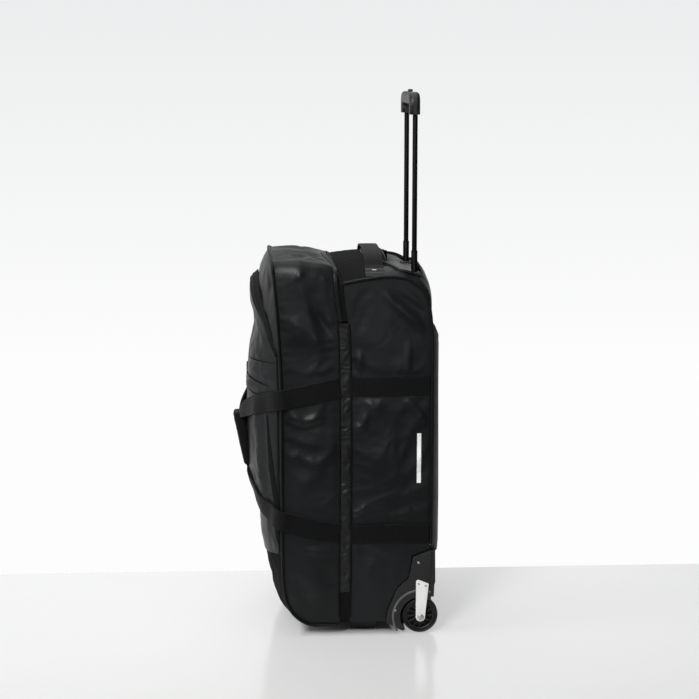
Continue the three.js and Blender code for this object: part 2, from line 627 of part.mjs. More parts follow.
function sideFace(x, z) {
  const across = Math.sin(Math.PI * clamp01((x - zipSeam) / (SIDE_COLUMNS.at(-1).x - zipSeam)));
  const up = Math.sin(Math.PI * clamp01((z - FOOT_Z) / (SIDE_BULGE.top - FOOT_Z)));
  const swell = Math.max(0, across * up) ** SIDE_BULGE.fullness;
  return SIDE_FACE + swell * (SIDE_BULGE.out + foldHeight(BASE_FOLDS, x, z));
}

function sidePoint(column, v) {
  const z = mix(column.low, column.high, v);
  const lean = tableAt(ZIP_LEAN, z) - ZIP_X;
  const x = column.x + lean * clamp01((HOUSING_LEAD - column.x) / (HOUSING_LEAD - zipSeam));
  return vec(x, sideFace(x, z), z);
}

const sideGrid = SIDE_COLUMNS.map((column) => sideShares.map((v) => sidePoint(column, v)));
const mirrored = (points, sign) => points.map((point) => vec(point.x, sign * point.y, point.z));
for (const { name, sign } of sides) {
  const grid = sideGrid.map((column) => mirrored(column, sign));
  const inner = grid.map((column) => column.map((point) => point.clone().sub(vec(0, sign * CLOTH, 0))));
  addPiece(`base_side_${name}`, wallSolid(grid, inner), 'tarpaulin');
}

// Piping round the side panels, from the zip over the top and down the back edge
const SIDE_PIPING_SEAT = 2.4;

function sideBead(sign) {
  const top = SIDE_COLUMNS.map((column) => sidePoint(column, 1));
  const last = SIDE_COLUMNS.at(-1);
  const back = [0.75, 0.5, 0.25, 0.01].map((v) => sidePoint(last, v));
  const edge = [...top, ...back];
  return edge.map((point, i) => {
    const before = edge[Math.max(i - 1, 0)];
    const after = edge[Math.min(i + 1, edge.length - 1)];
    const along = after.clone().sub(before).setY(0).normalize();
    const out = vec(-along.z, 0, along.x).multiplyScalar(SIDE_PIPING_SEAT);
    return vec(point.x + out.x, sign * (SIDE_FACE + SIDE_PIPING_SEAT), point.z + out.z);
  });
}

for (const { name, sign } of sides) {
  addPiece(`base_piping_${name}`, bead(sideBead(sign), PIPING_R, 6), 'piping');
}

// Webbing across the base sides, held against the panels
const BASE_STRAP = { front: zipSeam + 1, back: 193 };
const strapLevels = [
  { level: 'upper', z: STRAPS.upperZ },
  { level: 'lower', z: STRAPS.lowerZ },
];
for (const { level, z } of strapLevels) {
  for (const { name, sign } of sides) {
    const inner = steps(7).map((t) => [-0.5, 0.5].map((w) => {
      const x = mix(BASE_STRAP.front, BASE_STRAP.back, t);
      const height = z + w * WEBBING.width;
      return vec(x, sign * (sideFace(x, height) + WEBBING.gap), height);
    }));
    const depth = vec(0, sign * WEBBING.thick, 0);
    const outer = inner.map((row) => row.map((point) => point.clone().add(depth)));
    addPiece(`base_strap_${level}_${name}`, wallSolid(outer, inner), 'webbing');
  }
}

// Carry handle on the front: webbing from the zip over the side, round the front and down through the wrap

// Outermost face of the front and its pocket over the width of the webbing
function frontMost(y, z) {
  const heights = [-0.5, 0, 0.5].map((w) => z + w * WEBBING.width);
  return Math.min(...heights.map((h) => frontFace(y, h) - POCKET.gap - CLOTH - pocketPuff(y, h)));
}

const WRAP = {
  low: 326, high: 440, ease: 6, slim: 1.5, half: 24, depth: 14.2, lowDepth: 7,
  boreHalf: 21.6, boreDepth: 1.8, lowX: -184,
};
const wrapTopX = WRAP.depth + WEBBING.thick / 2 - FRONT_LIMIT;
const wrapShare = (z) => (z - WRAP.low) / (WRAP.high - WRAP.ease - WRAP.low);
const wrapX = (z) => mix(WRAP.lowX, wrapTopX, wrapShare(z));
const wrapDepth = (z) => mix(WRAP.lowDepth, WRAP.depth, Math.min(wrapShare(z), 1));
// Route of one strap on its side: x (or null to lie on the front), y, z, width, and the way it faces
const HAUL_ROUTE = [
  { x: 7, y: 198.6, z: 527, width: 40, face: [0, 1] },
  { x: -45, y: 203, z: 516, width: 40, face: [0, 1] },
  { x: -96, y: 202.6, z: 506, width: 40, face: [0, 1] },
  { x: -112, y: 204.2, z: 503, width: 40, face: [-0.35, 1] },
  { x: -121, y: 199, z: 501, width: 40, face: [-1, 0.7] },
  { x: null, y: 172, z: 496, width: 40, face: [-1, 0.55] },
  { x: null, y: 130, z: 485, width: 40, face: [-1, 0.3] },
  { x: null, y: 90, z: 475, width: 38, face: [-1, 0.2] },
  { x: -193, y: 55, z: 467, width: 32, face: [-1, 0.1] },
  { x: -198.5, y: 28, z: 460, width: 24, face: [-1, 0] },
  { x: wrapX(450), y: 10.5, z: 450, width: 17, face: [-1, 0] },
  { x: wrapX(316), y: 10.5, z: 316, width: 17, face: [-1, 0] },
  { x: -180.5, y: 28, z: 304, width: 24, face: [-1, 0] },
  { x: null, y: 55, z: 290, width: 32, face: [-1, 0.1] },
  { x: null, y: 90, z: 278, width: 38, face: [-1, 0.2] },
  { x: null, y: 130, z: 266, width: 40, face: [-1, 0.3] },
  { x: null, y: 172, z: 256, width: 40, face: [-1, 0.55] },
  { x: -121, y: 199, z: 250, width: 40, face: [-1, 0.7] },
  { x: -112, y: 204.2, z: 248, width: 40, face: [-0.35, 1] },
  { x: -96, y: 202.6, z: 244, width: 40, face: [0, 1] },
  { x: -45, y: 203, z: 230, width: 40, face: [0, 1] },
  { x: 7, y: 198.6, z: 220, width: 40, face: [0, 1] },
];
const FRONT_SLACK = 1.6; // the webbing lies this far in front of the cloth

function haulStrap(sign) {
  const path = HAUL_ROUTE.map(({ x, y, z }) => vec(x ?? frontMost(y, z) - FRONT_SLACK, sign * y, z));
  const inner = path.map((point, i) => {
    const { width, face } = HAUL_ROUTE[i];
    const before = path[Math.max(i - 1, 0)];
    const after = path[Math.min(i + 1, path.length - 1)];
    const along = after.clone().sub(before).normalize();
    const out = vec(face[0], sign * face[1], 0).normalize();
    const across = along.clone().cross(out).normalize();
    return { out, edges: [-0.5, 0.5].map((w) => point.clone().addScaledVector(across, w * width)) };
  });
  const outer = inner.map(({ out, edges }) => (
    edges.map((point) => point.clone().addScaledVector(out, WEBBING.thick))
  ));
  return wallSolid(outer, inner.map(({ edges }) => edges));
}

for (const { name, sign } of sides) addPiece(`haul_strap_${name}`, haulStrap(sign), 'webbing');

// Padded sleeve round both straps: a rounded box section, x^4 + y^4 = 1 in its half-sizes
const SLEEVE_SIDES = 16;

function sleeveRing(z, halfY, halfX) {
  const rounded = (t) => Math.sign(t) * Math.sqrt(Math.abs(t));
  return Array.from({ length: SLEEVE_SIDES }, (_, k) => {
    const angle = (2 * Math.PI * k) / SLEEVE_SIDES;
    const x = wrapX(z) - WEBBING.thick / 2 + halfX * rounded(Math.cos(angle));
    return vec(x, halfY * rounded(Math.sin(angle)), z);
  });
}

const sleeveStops = [
  { z: WRAP.low, slim: WRAP.slim },
  { z: WRAP.low + WRAP.ease, slim: 0 },
  { z: WRAP.high - WRAP.ease, slim: 0 },
  { z: WRAP.high, slim: WRAP.slim },
];
addPiece('handle_wrap', wallSolid(
  sleeveStops.map(({ z, slim }) => sleeveRing(z, WRAP.half - slim, wrapDepth(z) - slim)),
  sleeveStops.map(({ z }) => sleeveRing(z, WRAP.boreHalf, WRAP.boreDepth)),
  true,
), 'webbing');

// Carry loop on the top, sewn down at each end: distance from the middle and height over the cloth
const TOP_HANDLE = { front: 62, back: 99, thick: 3, gap: 0.8, over: 7 };
const TOP_HANDLE_ROUTE = [
  { y: 160, over: 0 },
  { y: 150, over: 0 },
  { y: 132, over: 4 },
  { y: 108, over: 6.5 },
  { y: 80, over: TOP_HANDLE.over },
  { y: 40, over: TOP_HANDLE.over },
];
const topRoute = [
  ...TOP_HANDLE_ROUTE.map(({ y, over }) => ({ y: -y, over })),
  { y: 0, over: TOP_HANDLE.over },
  ...[...TOP_HANDLE_ROUTE].reverse(),
];

// Highest cloth under the loop at a distance from the middle
function highest(y) {
  const places = steps(4).map((t) => mix(TOP_HANDLE.front, TOP_HANDLE.back, t));
  return Math.max(...places.map((x) => baseTop(x, y)));
}

function topStrip(route, front, back, thick) {
  const height = ({ y, over }) => highest(y) + TOP_HANDLE.gap + over;
  const inner = route.map((stop) => [front, back].map((x) => vec(x, stop.y, height(stop))));
  const outer = inner.map((row) => row.map((point) => point.clone().add(vec(0, 0, thick))));
  return wallSolid(outer, inner);
}

addPiece('top_handle', topStrip(topRoute, TOP_HANDLE.front, TOP_HANDLE.back, TOP_HANDLE.thick), 'webbing');
const TAB = { near: 161, far: 189, thick: 2, wider: 1 };
for (const { name, sign } of sides) {
  const route = steps(4).map((t) => ({ y: sign * mix(TAB.near, TAB.far, t), over: 0 }));
  const strip = topStrip(route, TOP_HANDLE.front - TAB.wider, TOP_HANDLE.back + TAB.wider, TAB.thick);
  addPiece(`handle_tab_${name}`, strip, 'tarpaulin');
}

// Trolley handle

// Oval outline of a tube in X and Y
function oval(halfX, halfY) {
  return new THREE.Shape().absellipse(0, 0, halfX, halfY, 0, 2 * Math.PI);
}

function tubeWithBore(stage, bore) {
  const shape = oval(stage.halfX, stage.halfY);
  if (bore) shape.holes.push(oval(bore.halfX, bore.halfY));
  return upright(shape, stage.low, stage.high);
}

const boreFor = (stage) => ({ halfX: stage.halfX + TUBE.fit, halfY: stage.halfY + TUBE.fit });
for (const { name, sign } of sides) {
  const place = (geometry) => geometry.translate(TUBE.x, sign * TUBE.y, 0);
  addPiece(`outer_tube_${name}`, place(tubeWithBore(STAGES.outer, boreFor(STAGES.mid))), 'tube');
  addPiece(`mid_tube_${name}`, place(tubeWithBore(STAGES.mid, boreFor(STAGES.top))), 'tube');
  addPiece(`top_tube_${name}`, place(tubeWithBore(STAGES.top, null)), 'tube');
}

// Moulded tray in the top back corner with a collar for each tube
const TRAY_SIDE = [
  [TRAY.front, TRAY.floor], [TRAY.front, TRAY.rim],
  [128, 763], [150, 757], [163, 748], [TRAY.sideBack, TRAY.floor],
];
const COLLAR = { halfX: 12, halfY: 15 };

function handleTray() {
  const floor = upright(trayShape(0), TRAY.floor, TRAY.floor + TRAY.thick);
  const wallInside = TRAY.half - TRAY.thick;
  const walls = sides.map(({ sign }) => sidePlate(shapeOf(TRAY_SIDE), wallInside, TRAY.half, sign));
  const front = new THREE.BoxGeometry(TRAY.thick, 2 * TRAY.half, TRAY.rim - TRAY.floor);
  front.translate(TRAY.front + TRAY.thick / 2, 0, (TRAY.rim + TRAY.floor) / 2);
  const collars = sides.map(({ sign }) => {
    const block = new THREE.BoxGeometry(2 * COLLAR.halfX, 2 * COLLAR.halfY, TRAY.collarTop - TRAY.floor);
    return block.translate(TUBE.x, sign * TUBE.y, (TRAY.collarTop + TRAY.floor) / 2);
  });
  const corner = upright(trayShape(0), TRAY.floor - CUT_REACH, TRAY.collarTop + CUT_REACH);
  const bores = sides.map(({ sign }) => {
    const bore = boreFor(STAGES.mid);
    const hole = upright(oval(bore.halfX, bore.halfY), TRAY.floor - CUT_REACH, TRAY.collarTop + CUT_REACH);
    return hole.translate(TUBE.x, sign * TUBE.y, 0);
  });
  const whole = toSolid(join(floor, ...walls, front, ...collars)).intersect(toSolid(corner));
  return toGeometry(bores.map(toSolid).reduce((a, b) => a.subtract(b), whole));
}

addPiece('handle_tray', handleTray(), 'plastic');

// Grip: a bar on two legs, with rounded shoulders, and its release button on top
function gripShape() {
  const { halfY, leg, low, barLow, top, shoulder, inner } = GRIP;
  const shape = new THREE.Shape();
  shape.moveTo(-halfY, low);
  shape.lineTo(-halfY + leg, low);
  shape.lineTo(-halfY + leg, barLow - inner);
  shape.quadraticCurveTo(-halfY + leg, barLow, -halfY + leg + inner, barLow);
  shape.lineTo(halfY - leg - inner, barLow);
  shape.quadraticCurveTo(halfY - leg, barLow, halfY - leg, barLow - inner);
  shape.lineTo(halfY - leg, low);
  shape.lineTo(halfY, low);
  shape.lineTo(halfY, top - shoulder);
  shape.quadraticCurveTo(halfY, top, halfY - shoulder, top);
  shape.lineTo(-halfY + shoulder, top);
  shape.quadraticCurveTo(-halfY, top, -halfY, top - shoulder);
  return shape;
}

const GRIP_BEVEL = { deep: 4, wide: 3.5 };
const gripBody = new THREE.ExtrudeGeometry(gripShape(), {
  depth: 2 * (GRIP.halfX - GRIP_BEVEL.deep), bevelThickness: GRIP_BEVEL.deep, bevelSize: GRIP_BEVEL.wide,
  bevelOffset: -GRIP_BEVEL.wide, bevelSegments: 2, curveSegments: 4,
});
gripBody.rotateX(Math.PI / 2).rotateZ(Math.PI / 2);
gripBody.computeBoundingBox();
const gripMiddle = gripBody.boundingBox.getCenter(vec(0, 0, 0));
addPiece('grip', gripBody.translate(GRIP.x - gripMiddle.x, 0, 0), 'plastic');

const BUTTON = { halfX: 5, halfY: 21, high: 4.6, gap: 0.3 };
const buttonLow = GRIP.top + BUTTON.gap;
const button = upright(oval(BUTTON.halfX, BUTTON.halfY), buttonLow, buttonLow + BUTTON.high);
addPiece('grip_button', button.translate(GRIP.x, 0, 0), 'plastic');

// Back plate with upright runners: its section in X and Y
const RUNNERS = [-176, -60, 60, 176];
const RUNNER = { foot: 8, crest: 5 };

function backSection() {
  const { face, plate, rib, half } = BACK;
  const ribs = RUNNERS.flatMap((y) => [
    [face + plate, y - RUNNER.foot], [face + rib, y - RUNNER.crest],
    [face + rib, y + RUNNER.crest], [face + plate, y + RUNNER.foot],
  ]);
  return shapeOf([[face, half], [face, -half], [face + plate, -half], ...ribs, [face + plate, half]]);
}

// The runners slope down to the plate at both ends
const backWedge = (end, inward) => plateAcross(shapeOf([
  [BACK.face + BACK.plate, end], [BACK.face + BACK.rib + 1, end + inward * BACK.slope],
  [BACK.face + BACK.rib + 1, end - inward], [BACK.face + BACK.plate, end - inward],
]), -BACK.half, BACK.half);
addPiece('back_panel', cut(
  upright(backSection(), BACK.low, BACK.high),
  backWedge(BACK.high, -1),
  backWedge(BACK.low, 1),
), 'plastic');

// Wheels, their housings and brackets
// The hub's windows take this share of each pitch
const HUB = { spokeIn: 12, spokeOut: 27, share: 0.66, r: WHEEL.rimR - 0.4 };

function hubShape() {
  const shape = new THREE.Shape().absarc(AXLE.x, AXLE.z, HUB.r, 0, 2 * Math.PI);
  shape.holes.push(new THREE.Path().absarc(AXLE.x, AXLE.z, AXLE.r + AXLE.fit, 0, 2 * Math.PI));
  const pitch = (2 * Math.PI) / WHEEL.windows;
  for (let k = 0; k < WHEEL.windows; k += 1) {
    const corners = [[HUB.spokeIn, -1], [HUB.spokeOut, -1], [HUB.spokeOut, 1], [HUB.spokeIn, 1]];
    const points = corners.map(([radius, edge]) => {
      const angle = k * pitch + (edge * pitch * HUB.share) / 2;
      return new THREE.Vector2(AXLE.x + radius * Math.cos(angle), AXLE.z + radius * Math.sin(angle));
    });
    shape.holes.push(new THREE.Path(points));
  }
  return shape;
}

// Half of the tyre's section from its rim to its tread: radius and depth from its face
const TYRE_HALF = [[WHEEL.rimR, 4], [WHEEL.r - 5, 0], [WHEEL.r - 1, 4], [WHEEL.r, 10]];
const TYRE_SECTION = [
  ...TYRE_HALF.map(([radius, deep]) => [radius, WHEEL.inner + deep]),
  ...[...TYRE_HALF].reverse().map(([radius, deep]) => [radius, WHEEL.outer - deep]),
  [WHEEL.rimR, WHEEL.inner + TYRE_HALF[0][1]],
];
const AXLE_HEAD = { r: 7, gap: 0.3, high: 3.1, round: 1, crest: 5 };
const axleEnd = HOUSING.inner + HOUSING.wall + AXLE.endGap;
const bracketOuter = BRACKET.inner + BRACKET.thick;
const AXLE_SECTION = [
  [0, axleEnd], [AXLE.r, axleEnd],
  [AXLE.r, bracketOuter + AXLE_HEAD.gap], [AXLE_HEAD.r, bracketOuter + AXLE_HEAD.gap],
  [AXLE_HEAD.r, bracketOuter + AXLE_HEAD.high - AXLE_HEAD.round],
  [AXLE_HEAD.crest, bracketOuter + AXLE_HEAD.high], [0, bracketOuter + AXLE_HEAD.high],
];
const BRACKET_END = { r: 9.5, leftX: 166.5, leftZ: 119, rightX: 193, rightZ: 111 };

function bracketShape() {
  const { r, leftX, leftZ, rightX, rightZ } = BRACKET_END;
  const shape = new THREE.Shape();
  shape.moveTo(AXLE.x - r, AXLE.z);
  shape.absarc(AXLE.x, AXLE.z, r, Math.PI, 2 * Math.PI);
  shape.lineTo(rightX, rightZ - 2);
  shape.lineTo(rightX - 2, rightZ);
  shape.lineTo(leftX + 4, leftZ);
  shape.lineTo(leftX, leftZ - 4);
  shape.holes.push(new THREE.Path().absarc(AXLE.x, AXLE.z, AXLE.r + AXLE.fit, 0, 2 * Math.PI));
  return shape;
}

const SCREWS = [
  { name: 'housing_screw_top', x: 172, z: 155, r: 3.2, seat: HOUSING.outer },
  { name: 'housing_screw_front', x: 123, z: 53, r: 3.2, seat: HOUSING.outer },
  { name: 'bracket_screw_front', x: 172, z: 110, r: 2.4, seat: bracketOuter },
  { name: 'bracket_screw_back', x: 186.5, z: 106, r: 2.4, seat: bracketOuter },
];
const SCREW = { gap: 0.3, high: 1.8 };

function screwHead({ x, z, r, seat }, sign) {
  const low = seat + SCREW.gap;
  const dome = [[0, low], [r, low], [r * 0.8, low + SCREW.high * 0.7], [0, low + SCREW.high]];
  return turned(dome, sign, x, z, 8);
}

for (const { name, sign } of sides) {
  const wallFace = HOUSING.inner + HOUSING.wall;
  const body = sidePlate(housingShape, wallFace - 1, HOUSING.outer, sign);
  const wall = sidePlate(housingWall, HOUSING.inner, wallFace, sign);
  const bracket = sidePlate(bracketShape(), BRACKET.inner, bracketOuter, sign, 8);
  addPiece(`wheel_housing_${name}`, join(body, wall), 'plastic');
  addPiece(`wheel_bracket_${name}`, bracket, 'bracket');
  addPiece(`tyre_${name}`, turned(TYRE_SECTION, sign, AXLE.x, AXLE.z, 24), 'rubber');
  addPiece(`hub_${name}`, sidePlate(hubShape(), WHEEL.hubInner, WHEEL.hubOuter, sign, 9), 'plastic');
  addPiece(`axle_${name}`, turned(AXLE_SECTION, sign, AXLE.x, AXLE.z, 10), 'steel');
  for (const screw of SCREWS) addPiece(`${screw.name}_${name}`, screwHead(screw, sign), 'steel');
}

// Two plain feet under the base hold the bag level with its wheels
const FOOT = { front: 31, back: 86, inner: 112, outer: 160, high: 25.6, lowIn: 4 };
const footSection = shapeOf([
  [FOOT.front, FOOT.high], [FOOT.front, FOOT.lowIn], [FOOT.front + FOOT.lowIn, 0],
  [FOOT.back - FOOT.lowIn, 0], [FOOT.back, FOOT.lowIn], [FOOT.back, FOOT.high],
]);
for (const { name, sign } of sides) {
  addPiece(`foot_${name}`, sidePlate(footSection, FOOT.inner, FOOT.outer, sign), 'plastic');
}

export default bag;
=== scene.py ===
import math

import bmesh
import bpy
import numpy as np
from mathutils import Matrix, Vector


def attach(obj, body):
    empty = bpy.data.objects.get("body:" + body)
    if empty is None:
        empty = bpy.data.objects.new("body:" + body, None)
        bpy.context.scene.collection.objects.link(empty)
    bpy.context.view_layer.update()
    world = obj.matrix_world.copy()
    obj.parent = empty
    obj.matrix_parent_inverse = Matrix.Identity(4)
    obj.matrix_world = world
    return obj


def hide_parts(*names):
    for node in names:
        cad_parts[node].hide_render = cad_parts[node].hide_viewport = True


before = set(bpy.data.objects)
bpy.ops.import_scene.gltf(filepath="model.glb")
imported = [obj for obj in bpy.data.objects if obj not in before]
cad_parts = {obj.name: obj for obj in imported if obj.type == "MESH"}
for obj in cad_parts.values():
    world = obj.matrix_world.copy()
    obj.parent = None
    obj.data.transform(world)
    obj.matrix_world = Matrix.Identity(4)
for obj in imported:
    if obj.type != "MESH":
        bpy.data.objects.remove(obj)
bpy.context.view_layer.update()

mm = 0.001  # tables below are in millimetres, Blender is in metres
bothSides = (("right", -1), ("left", 1))
halfHeight = 400  # of the bag: faces are turned away from a point at this height
print("frame loaded:", len(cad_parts), "nodes")


# General helpers
def toLinear(hexColour):  # sRGB hex to a linear RGBA colour
    c = np.array([int(hexColour[i:i + 2], 16) for i in (1, 3, 5)]) / 255
    c = np.where(c <= 0.04045, c / 12.92, ((c + 0.055) / 1.055) ** 2.4)
    return (*c.tolist(), 1.0)


def mix(a, b, t):
    return a + (b - a) * t


def held(t):  # kept between 0 and 1
    return np.clip(t, 0, 1)


def easeStep(low, high, t):  # 0 below low, 1 above high, smooth between
    k = held((np.asarray(t, float) - low) / (high - low))
    return k * k * (3 - 2 * k)


def turns(count):  # angles at even steps round a circle
    return np.linspace(0, 2 * math.pi, count, endpoint=False)


def unit(v):  # vectors of length 1
    return v / np.maximum(np.linalg.norm(v, axis=-1, keepdims=True), 1e-9)


def runLength(p):  # distance along the first axis of a row or a grid of points
    run = np.cumsum(np.linalg.norm(np.diff(p, axis=0), axis=-1), axis=0)
    return np.concatenate([np.zeros_like(run[:1]), run])


def smoothTable(rows, t):  # smooth curve through rows (place, value): cubic pieces with slopes from the neighbours
    x, y = np.array(rows, float).T
    t = np.clip(np.asarray(t, float), x[0], x[-1])
    step = np.diff(x)
    chord = np.diff(y) / step
    between = (chord[:-1] * step[1:] + chord[1:] * step[:-1]) / (step[1:] + step[:-1])
    slope = np.concatenate([chord[:1], between, chord[-1:]])
    i = np.clip(np.searchsorted(x, t) - 1, 0, len(x) - 2)
    h = (t - x[i]) / step[i]
    a, b = (1 + 2 * h) * (1 - h) ** 2, h * (1 - h) ** 2
    return a * y[i] + b * step[i] * slope[i] + (1 - a) * y[i + 1] + h * h * (h - 1) * step[i] * slope[i + 1]


def smoothColumns(places, table, t):  # the same through each column of a table
    return [smoothTable(np.stack([places, column], 1), t) for column in np.array(table, float).T]


def latticeNoise(x, y, seed):  # gradient noise, about -0.7 to 0.7, from a seeded table of directions
    angles = np.random.default_rng(seed).uniform(0, 2 * math.pi, (64, 64))
    xi, yi = np.floor(x).astype(int), np.floor(y).astype(int)
    fx, fy = x - xi, y - yi
    wx, wy = (f ** 3 * (f * (f * 6 - 15) + 10) for f in (fx, fy))

    def corner(dx, dy):
        angle = angles[(xi + dx) % 64, (yi + dy) % 64]
        return np.cos(angle) * (fx - dx) + np.sin(angle) * (fy - dy)
    return mix(mix(corner(0, 0), corner(1, 0), wx), mix(corner(0, 1), corner(1, 1), wx), wy)


def crumple(x, y, *layers):  # creased cloth: layers (size, seed, height) of sharp-topped noise bent by a slower noise
    total = 0
    for size, seed, high in layers:
        bend = latticeNoise(x / (2.3 * size), y / (2.3 * size), seed) * 1.6
        fine = latticeNoise(x / size + bend, y / size - bend, seed + 1)
        total = total + (0.5 - np.abs(fine) * 2.2) * high
    return total


def foldField(folds, x, z, lip=False):  # sum of ridges, rows of (line x, z to x, z, half width, height)
    total = np.zeros(np.broadcast(x, z).shape)
    for ax, az, bx, bz, half, high in folds:
        k = held(((x - ax) * (bx - ax) + (z - az) * (bz - az)) / ((bx - ax) ** 2 + (bz - az) ** 2))
        lineZ = mix(az, bz, k)
        far = np.hypot(x - mix(ax, bx, k), z - lineZ)
        shape = np.exp(-(far / half) ** 2)
        if lip:  # overlapped fold: slow above its line, a sheer drop below
            shape = np.where(z > lineZ, np.exp(-far / half), np.exp(-far / 1.6))
        total += high * shape * np.sin(math.pi * (0.12 + 0.76 * k))
    return total


def outwards(p, insideX):  # unit normals of a grid of points, turned away from a point inside the bag
    n = unit(np.cross(np.gradient(p, axis=0), np.gradient(p, axis=1)))
    return n * np.where(((p - (insideX, 0, halfHeight)) * n).sum(2, keepdims=True) < 0, -1, 1)


def levelNormals(p, insideX):  # the same without their share along X
    return unit(outwards(p, insideX) * (0, 1, 1))


def gridQuads(rows, cols, around=False, first=0):  # faces of a grid; around joins the last column to the first
    r, c = np.meshgrid(np.arange(rows - 1), np.arange(cols if around else cols - 1), indexing="ij")
    d = (c + 1) % cols
    corners = [r * cols + c, r * cols + d, (r + 1) * cols + d, (r + 1) * cols + c]
    return (first + np.stack(corners, 2)).reshape(-1, 4)


def gridLengths(p):  # millimetres along rows and columns of a grid, for a map that follows the cloth
    return np.stack([runLength(p), runLength(p.swapaxes(0, 1)).T], 2).reshape(-1, 2)


def putObject(name, data):
    item = bpy.data.objects.new(name, data)
    bpy.context.scene.collection.objects.link(item)
    return item


def putMesh(name, points, faceSets, uv=None, sharpAngle=None):  # millimetre points into a smooth, outward mesh
    p = np.asarray(points, float)
    volume = sum((p[f[:, 0]] * np.cross(p[f[:, k]], p[f[:, k + 1]])).sum()
                 for f in faceSets for k in range(1, f.shape[1] - 1))
    faceSets = faceSets if volume > 0 else [f[:, ::-1] for f in faceSets]
    corners = np.concatenate([f.ravel() for f in faceSets]).astype(np.int32)
    sizes = np.concatenate([np.full(len(f), f.shape[1]) for f in faceSets])
    mesh = bpy.data.meshes.new(name)
    mesh.vertices.add(len(p))
    mesh.vertices.foreach_set("co", (p * mm).ravel())
    mesh.loops.add(len(corners))
    mesh.polygons.add(len(sizes))
    mesh.polygons.foreach_set("loop_start", (np.cumsum(sizes) - sizes).astype(np.int32))
    mesh.polygons.foreach_set("vertices", corners)
    mesh.update(calc_edges=True)
    if uv is not None:
        mesh.uv_layers.new(name="cloth").data.foreach_set("uv", (np.asarray(uv)[corners] * mm).ravel())
    mesh.polygons.foreach_set("use_smooth", np.ones(len(sizes), bool))
    piece = putObject(name, mesh)
    if sharpAngle:
        mesh.set_sharp_from_angle(angle=math.radians(sharpAngle))
    return piece


def wallPiece(name, outer, inner, around=False):  # closed wall between two grids of points
    rows, cols = outer.shape[:2]
    back, last = rows * cols, (rows - 1) * cols
    edge = lambda a, b: np.stack([a, b, b + back, a + back], 1)
    c = np.arange(cols if around else cols - 1)
    d = (c + 1) % cols
    rims = [edge(d, c), edge(last + c, last + d)]
    if not around:
        r = np.arange(rows - 1) * cols
        rims += [edge(r, r + cols), edge(r + 2 * cols - 1, r + cols - 1)]
    faces = [gridQuads(rows, cols, around), gridQuads(rows, cols, around, back)[:, ::-1], *rims]
    points = np.concatenate([outer.reshape(-1, 3), inner.reshape(-1, 3)])
    return putMesh(name, points, faces, np.concatenate([gridLengths(outer)] * 2), 50)


def clothPiece(name, outer, insideX, thick):  # cloth wall whose outer face is the grid
    return wallPiece(name, outer, outer - outwards(outer, insideX) * thick)


def skinPiece(name, ground, out):  # thin layer that lies on other cloth
    skin = {"top": 0.7, "under": 0.1}
    return wallPiece(name, ground + out * skin["top"], ground + out * skin["under"])


def sweepPiece(name, path, section, side, sharpAngle=60):  # section carried along a path, closed by flat ends
    tangent = unit(np.gradient(path, axis=0))
    side = np.array(side, float)
    side = unit(side - tangent * (side * tangent).sum(1, keepdims=True))
    other = np.cross(tangent, side)
    p = path[:, None] + side[:, None] * section[:, :1] + other[:, None] * section[:, 1:]
    rows, cols = p.shape[:2]
    ends = np.stack([np.arange(cols)[::-1], np.arange((rows - 1) * cols, rows * cols)])
    return putMesh(name, p.reshape(-1, 3), [gridQuads(rows, cols, True), ends], gridLengths(p), sharpAngle)


def evenPath(points, spacing):  # smooth path through a few points, resampled at even steps
    p = np.array(points, float)
    t = runLength(p)
    q = np.stack(smoothColumns(t, p, np.linspace(0, t[-1], 40 * len(p))), 1)
    run = runLength(q)
    even = np.linspace(0, run[-1], max(int(run[-1] / spacing), 3))
    return np.stack([np.interp(even, run, q[:, k]) for k in range(3)], 1)


def signedPower(v, power):
    return np.sign(v) * np.abs(v) ** power


def boxSection(halfWide, halfThick, power, sides):  # rounded box: |x|^p + |y|^p = 1 in its half sizes, round at 2
    a = turns(sides)
    return np.stack([halfWide * signedPower(np.cos(a), 2 / power), halfThick * signedPower(np.sin(a), 2 / power)], 1)


def prism(name, outline, low, high, axis):  # straight prism of an outline between two places on an axis
    n = len(outline)
    points = np.insert(np.tile(np.array(outline, float), (2, 1)), "xyz".index(axis), np.repeat([low, high], n), axis=1)
    k = np.arange(n)
    walls = np.stack([k, (k + 1) % n, (k + 1) % n + n, k + n], 1)
    return putMesh(name, points, [walls, np.stack([k[::-1], k + n])], None, 30)


def oblong(x0, y0, x1, y1):
    return [(x0, y0), (x1, y0), (x1, y1), (x0, y1)]


def cutAway(piece, cutters):  # takes cutters out of a piece and removes them
    for cutter in cutters:
        cut = piece.modifiers.new("cut", "BOOLEAN")
        cut.object, cut.operation, cut.solver = cutter, "DIFFERENCE", "EXACT"
    shown = piece.evaluated_get(bpy.context.evaluated_depsgraph_get())
    piece.data = bpy.data.meshes.new_from_object(shown)
    piece.modifiers.clear()
    for cutter in cutters:
        bpy.data.objects.remove(cutter)


def softEdges(piece, width, segments=3, angle=50):  # rounds the edges that are sharper than an angle
    bevel = piece.modifiers.new("roundedEdges", "BEVEL")
    bevel.width, bevel.segments = width * mm, segments
    bevel.limit_method, bevel.angle_limit = "ANGLE", math.radians(angle)
    return bevel


def shapeObject(name, shape):  # bmesh into an object
    mesh = bpy.data.meshes.new(name)
    shape.to_mesh(mesh)
    shape.free()
    return putObject(name, mesh)


# Finish of a piece, the solids it stands for, its slot if not the usual one of its finish (not used), the body it moves
# with
def dress(piece, look, *nodes, slot=None, part="bag"):
    piece.data.materials.clear()
    piece.data.materials.append(look)
    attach(piece, part)
    if nodes:
        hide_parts(*nodes)


